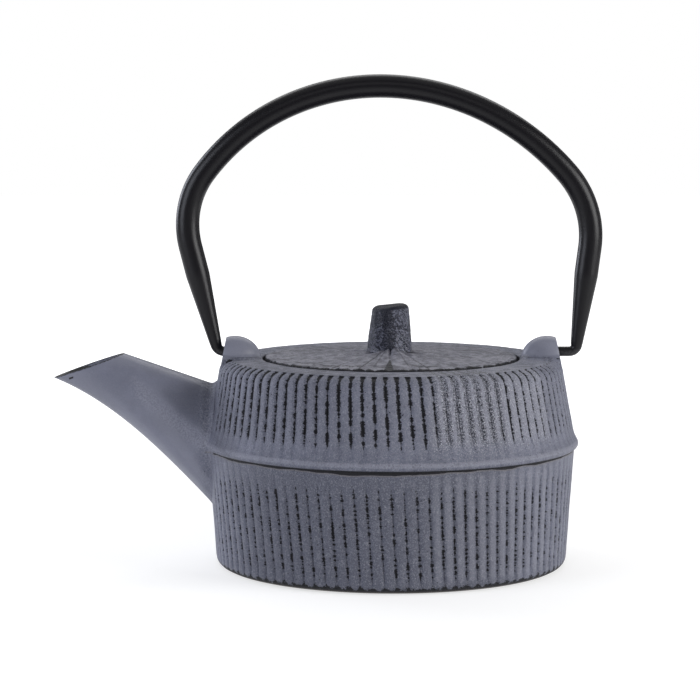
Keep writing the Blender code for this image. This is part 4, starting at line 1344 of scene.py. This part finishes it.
class TEAPOT_OT_handle(bpy.types.Operator):
    """Rolled bail handle hooked into the lugs"""

    bl_idname = "teapot.handle"
    bl_label = "Bail Handle"

    def execute(self, context):
        right = handle_line()
        stations = [(-x, z, -inward_x, inward_z) for x, z, inward_x, inward_z in reversed(right[1:])] + right
        end = LUG_FACE - SOCKET_DEPTH + 0.9
        tips = ((end, HOOK_END_RADIUS), (end + 0.4, HOOK_RADIUS))
        rings = [rolled_ring(-x, 0.0, (0.0, 1.0), radius) for x, radius in tips]
        for x, z, inward_x, inward_z in stations:
            middle_x = x * HANDLE_WIDTH_SHARE + HANDLE_SHIFT - HANDLE_LEAN * z
            rings.append(rolled_ring(middle_x, z * HANDLE_HEIGHT_SHARE, (inward_x, inward_z), tube_radius(z)))
        rings += [rolled_ring(x, 0.0, (0.0, 1.0), radius) for x, radius in reversed(tips)]
        handle = skin("handle_looks", rings, caps=True)
        dress(handle, black_satin(context.scene.teapot_handle))
        smooth(handle, 35.0)
        stand_for(handle, "handle", "black_satin", "handle")
        return {"FINISHED"}


class TEAPOT_OT_lid(bpy.types.Operator):
    """Cast lid with roots running out from its knob"""

    bl_idname = "teapot.lid"
    bl_label = "Lid"

    def execute(self, context):
        lid = lid_form()
        steps = 24
        angle = np.arange(steps) * TAU / steps
        across, along = VENT_RADIUS * np.cos(angle), VENT_OFFSET + VENT_RADIUS * np.sin(angle)
        rings = [np.stack([across, along, np.full(steps, z)], axis=-1) for z in (70.0, 95.0)]
        carve(lid, skin("vent_form", rings, caps=True), "DIFFERENCE")
        dress(lid, lid_paint(context.scene.teapot_lid))
        smooth(lid, 40.0)
        stand_for(lid, "lid", "slate_lid", "lid")
        return {"FINISHED"}


class TEAPOT_OT_knob(bpy.types.Operator):
    """Rough cast knob"""

    bl_idname = "teapot.knob"
    bl_label = "Lid Knob"

    def execute(self, context):
        knob = knob_form()
        dress(knob, knob_finish(context.scene.teapot_knob))
        smooth(knob, 50.0)
        stand_for(knob, "lid", "brushed_knob", "lid_knob")
        return {"FINISHED"}


class TEAPOT_OT_fixings(bpy.types.Operator):
    """Finishes of the screw, washer and plain basket bands"""

    bl_idname = "teapot.fixings"
    bl_label = "Screw, Washer and Bands"

    def execute(self, context):
        steel = brushed_steel("stainless", (3.0, 1.5, 5.0))
        zinc = brushed_steel("zinc_plate", (6.0, 4.0, 2.0), (0.52, 0.53, 0.55))
        for node in ("infuser_rim", "infuser_seam", "infuser_base_ring"):
            dress(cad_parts[node], steel)
        for node in ("knob_screw", "knob_washer"):
            dress(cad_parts[node], zinc)
        return {"FINISHED"}


class TEAPOT_OT_basket(bpy.types.Operator):
    """Pierced wall and base of the infuser basket"""

    bl_idname = "teapot.basket"
    bl_label = "Basket Sheets"

    def execute(self, context):
        basket = context.scene.teapot_basket
        steel = brushed_steel("stainless_mesh", (2.0, 2.0, 2.0), (0.58, 0.58, 0.57))
        low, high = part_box("infuser_sleeve")
        around = TAU * (high.x - basket.sheet_gauge)
        self.sheet("infuser_sleeve", "Pierced wall", basket, steel, around, high.z - low.z, low.z, True)
        low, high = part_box("infuser_base_mesh")
        wide = 2.0 * high.x
        self.sheet("infuser_base_mesh", "Pierced base", basket, steel, wide, wide, low.z, False)
        return {"FINISHED"}

    def sheet(self, node, label, *sizes):
        piece = pierced_sheet(node + "_looks", label, *sizes)
        clean(piece.data)
        smooth(piece, 40.0)
        stand_for(piece, "infuser", "stainless_mesh", node)


# The stage is in metres
FLOOR_HALF = 3.0
FLOOR_DROP = 0.0003
LIGHT_AIM = Vector((0.0, 0.0, 0.06))

# Soft boxes: setting, place, size, colour
COOL = (0.94, 0.98, 1.10)
WHITE = (1.0, 1.0, 1.0)
SOFT_BOXES = (
    ("left", (-1.10, -0.64, 0.45), (0.75, 0.9), COOL),
    ("right", (1.12, -0.56, 0.45), (0.80, 0.9), WHITE),
    ("front", (0.0, -1.50, 1.00), (1.2, 0.6), WHITE),
    ("left_back", (-1.0, 0.7, 0.45), (0.5, 0.8), COOL),
    ("right_back", (1.0, 0.7, 0.45), (0.5, 0.8), WHITE),
    ("top", (0.0, 0.05, 1.30), (1.4, 1.4), WHITE),
    ("top_back", (0.0, 0.85, 1.0), (1.4, 0.7), WHITE),
)


class TEAPOT_OT_stage(bpy.types.Operator):
    """Pale floor, soft lights and the camera"""

    bl_idname = "teapot.stage"
    bl_label = "Stage"

    def execute(self, context):
        settings = context.scene.teapot_stage
        self.floor(settings)
        for key, place, size, color in SOFT_BOXES:
            self.soft_box(key, place, size, color, getattr(settings, key))
        self.even_light(context.scene, settings.ambient)
        self.camera(context.scene)
        context.scene.view_settings.view_transform = "Standard"
        return {"FINISHED"}

    def floor(self, settings):
        """A floor that glows evenly to the camera and fades out far off for the pieces' reflections."""
        f = Finish("pale_floor")
        mottle = f.noise(f.place, 0.01, 2.0)
        color = f.mix(mottle, settings.floor, tuple(c * 1.02 for c in settings.floor))
        shown = f.mix(f.between(f.radius, 150.0, 800.0), (0.60, 0.60, 0.60), (1.0, 1.0, 1.0))
        cast = f.mix(f.between(f.radius, 250.0, 800.0), (0.58, 0.58, 0.58), (0.10, 0.10, 0.10))
        glow = f.mix(f.add("ShaderNodeLightPath", out="Is Camera Ray"), cast, shown)
        fixed = {"Specular_IOR_Level": 0.0, "Emission_Color": glow, "Emission_Strength": 1.0}
        paint = f.coated(color, 0.9, mottle, 0.01, **fixed)
        half, drop = FLOOR_HALF, -FLOOR_DROP
        corners = [(-half, -half, drop), (half, -half, drop), (half, half, drop), (-half, half, drop)]
        mesh = bpy.data.meshes.new("floor")
        mesh.from_pydata(corners, [], [(0, 1, 2, 3)])
        floor = link_mesh("floor", mesh)
        dress(floor, paint)

    def even_light(self, scene, ambient):
        """White to the camera and a faint even light for the rest."""
        world = bpy.data.worlds.new("studio")
        scene.world = world
        world.use_nodes = True
        world.node_tree.nodes.clear()
        w = Maker(world.node_tree)
        seen = w.add("ShaderNodeLightPath", out="Is Camera Ray")
        values = {"Color": (1.0, 1.0, 1.0, 1.0), "Strength": seen * (1.0 - ambient) + ambient}
        light = w.add("ShaderNodeBackground", None, values)
        w.add("ShaderNodeOutputWorld", None, {"Surface": light})

    def camera(self, scene):
        """A level camera, shifted down, so that upright lines stay upright."""
        data = bpy.data.cameras.new("camera")
        data.sensor_width = 36.0
        data.lens = 138.86
        data.shift_y = -0.4166
        data.clip_end = 50.0
        camera = bpy.data.objects.new("camera", data)
        scene.collection.objects.link(camera)
        camera.location = (-0.0172, -1.134, 0.211)
        camera.rotation_euler = (math.pi / 2.0, 0.0, 0.0)
        scene.camera = camera

    def soft_box(self, name, place, size, color, power):
        data = bpy.data.lights.new(name, "AREA")
        data.shape = "RECTANGLE"
        data.size, data.size_y = size
        data.color = color
        data.energy = power
        light = bpy.data.objects.new(name, data)
        light.location = place
        aim = LIGHT_AIM - light.location
        light.rotation_euler = aim.to_track_quat("-Z", "Y").to_euler()
        bpy.context.scene.collection.objects.link(light)


OPERATORS = (
    TEAPOT_OT_pot, TEAPOT_OT_handle, TEAPOT_OT_lid, TEAPOT_OT_knob,
    TEAPOT_OT_fixings, TEAPOT_OT_basket, TEAPOT_OT_stage,
)
GROUPS = {
    "teapot_pot": PotSettings, "teapot_handle": HandleSettings, "teapot_lid": LidSettings,
    "teapot_knob": KnobSettings, "teapot_basket": BasketSettings, "teapot_stage": StageSettings,
}


class TEAPOT_PT_panel(bpy.types.Panel):
    """Settings and makers of the teapot's pieces"""

    bl_idname = "TEAPOT_PT_panel"
    bl_label = "Teapot"
    bl_space_type = "VIEW_3D"
    bl_region_type = "UI"
    bl_category = "Teapot"

    def draw(self, context):
        for key, group in GROUPS.items():
            box = self.layout.box()
            for label in group.__annotations__:
                box.prop(getattr(context.scene, key), label)
        for operator in OPERATORS:
            self.layout.operator(operator.bl_idname)


def register():
    for group in GROUPS.values():
        bpy.utils.register_class(group)
    for key, group in GROUPS.items():
        setattr(bpy.types.Scene, key, PointerProperty(type=group))
    for operator in (*OPERATORS, TEAPOT_PT_panel):
        bpy.utils.register_class(operator)


def unregister():
    for operator in (*OPERATORS, TEAPOT_PT_panel):
        bpy.utils.unregister_class(operator)
    for key, group in GROUPS.items():
        delattr(bpy.types.Scene, key)
        bpy.utils.unregister_class(group)


def main():
    register()
    for operator in OPERATORS:
        group, name = operator.bl_idname.split(".")
        getattr(getattr(bpy.ops, group), name)()
    bpy.context.view_layer.update()


if __name__ == "__main__":
    main()
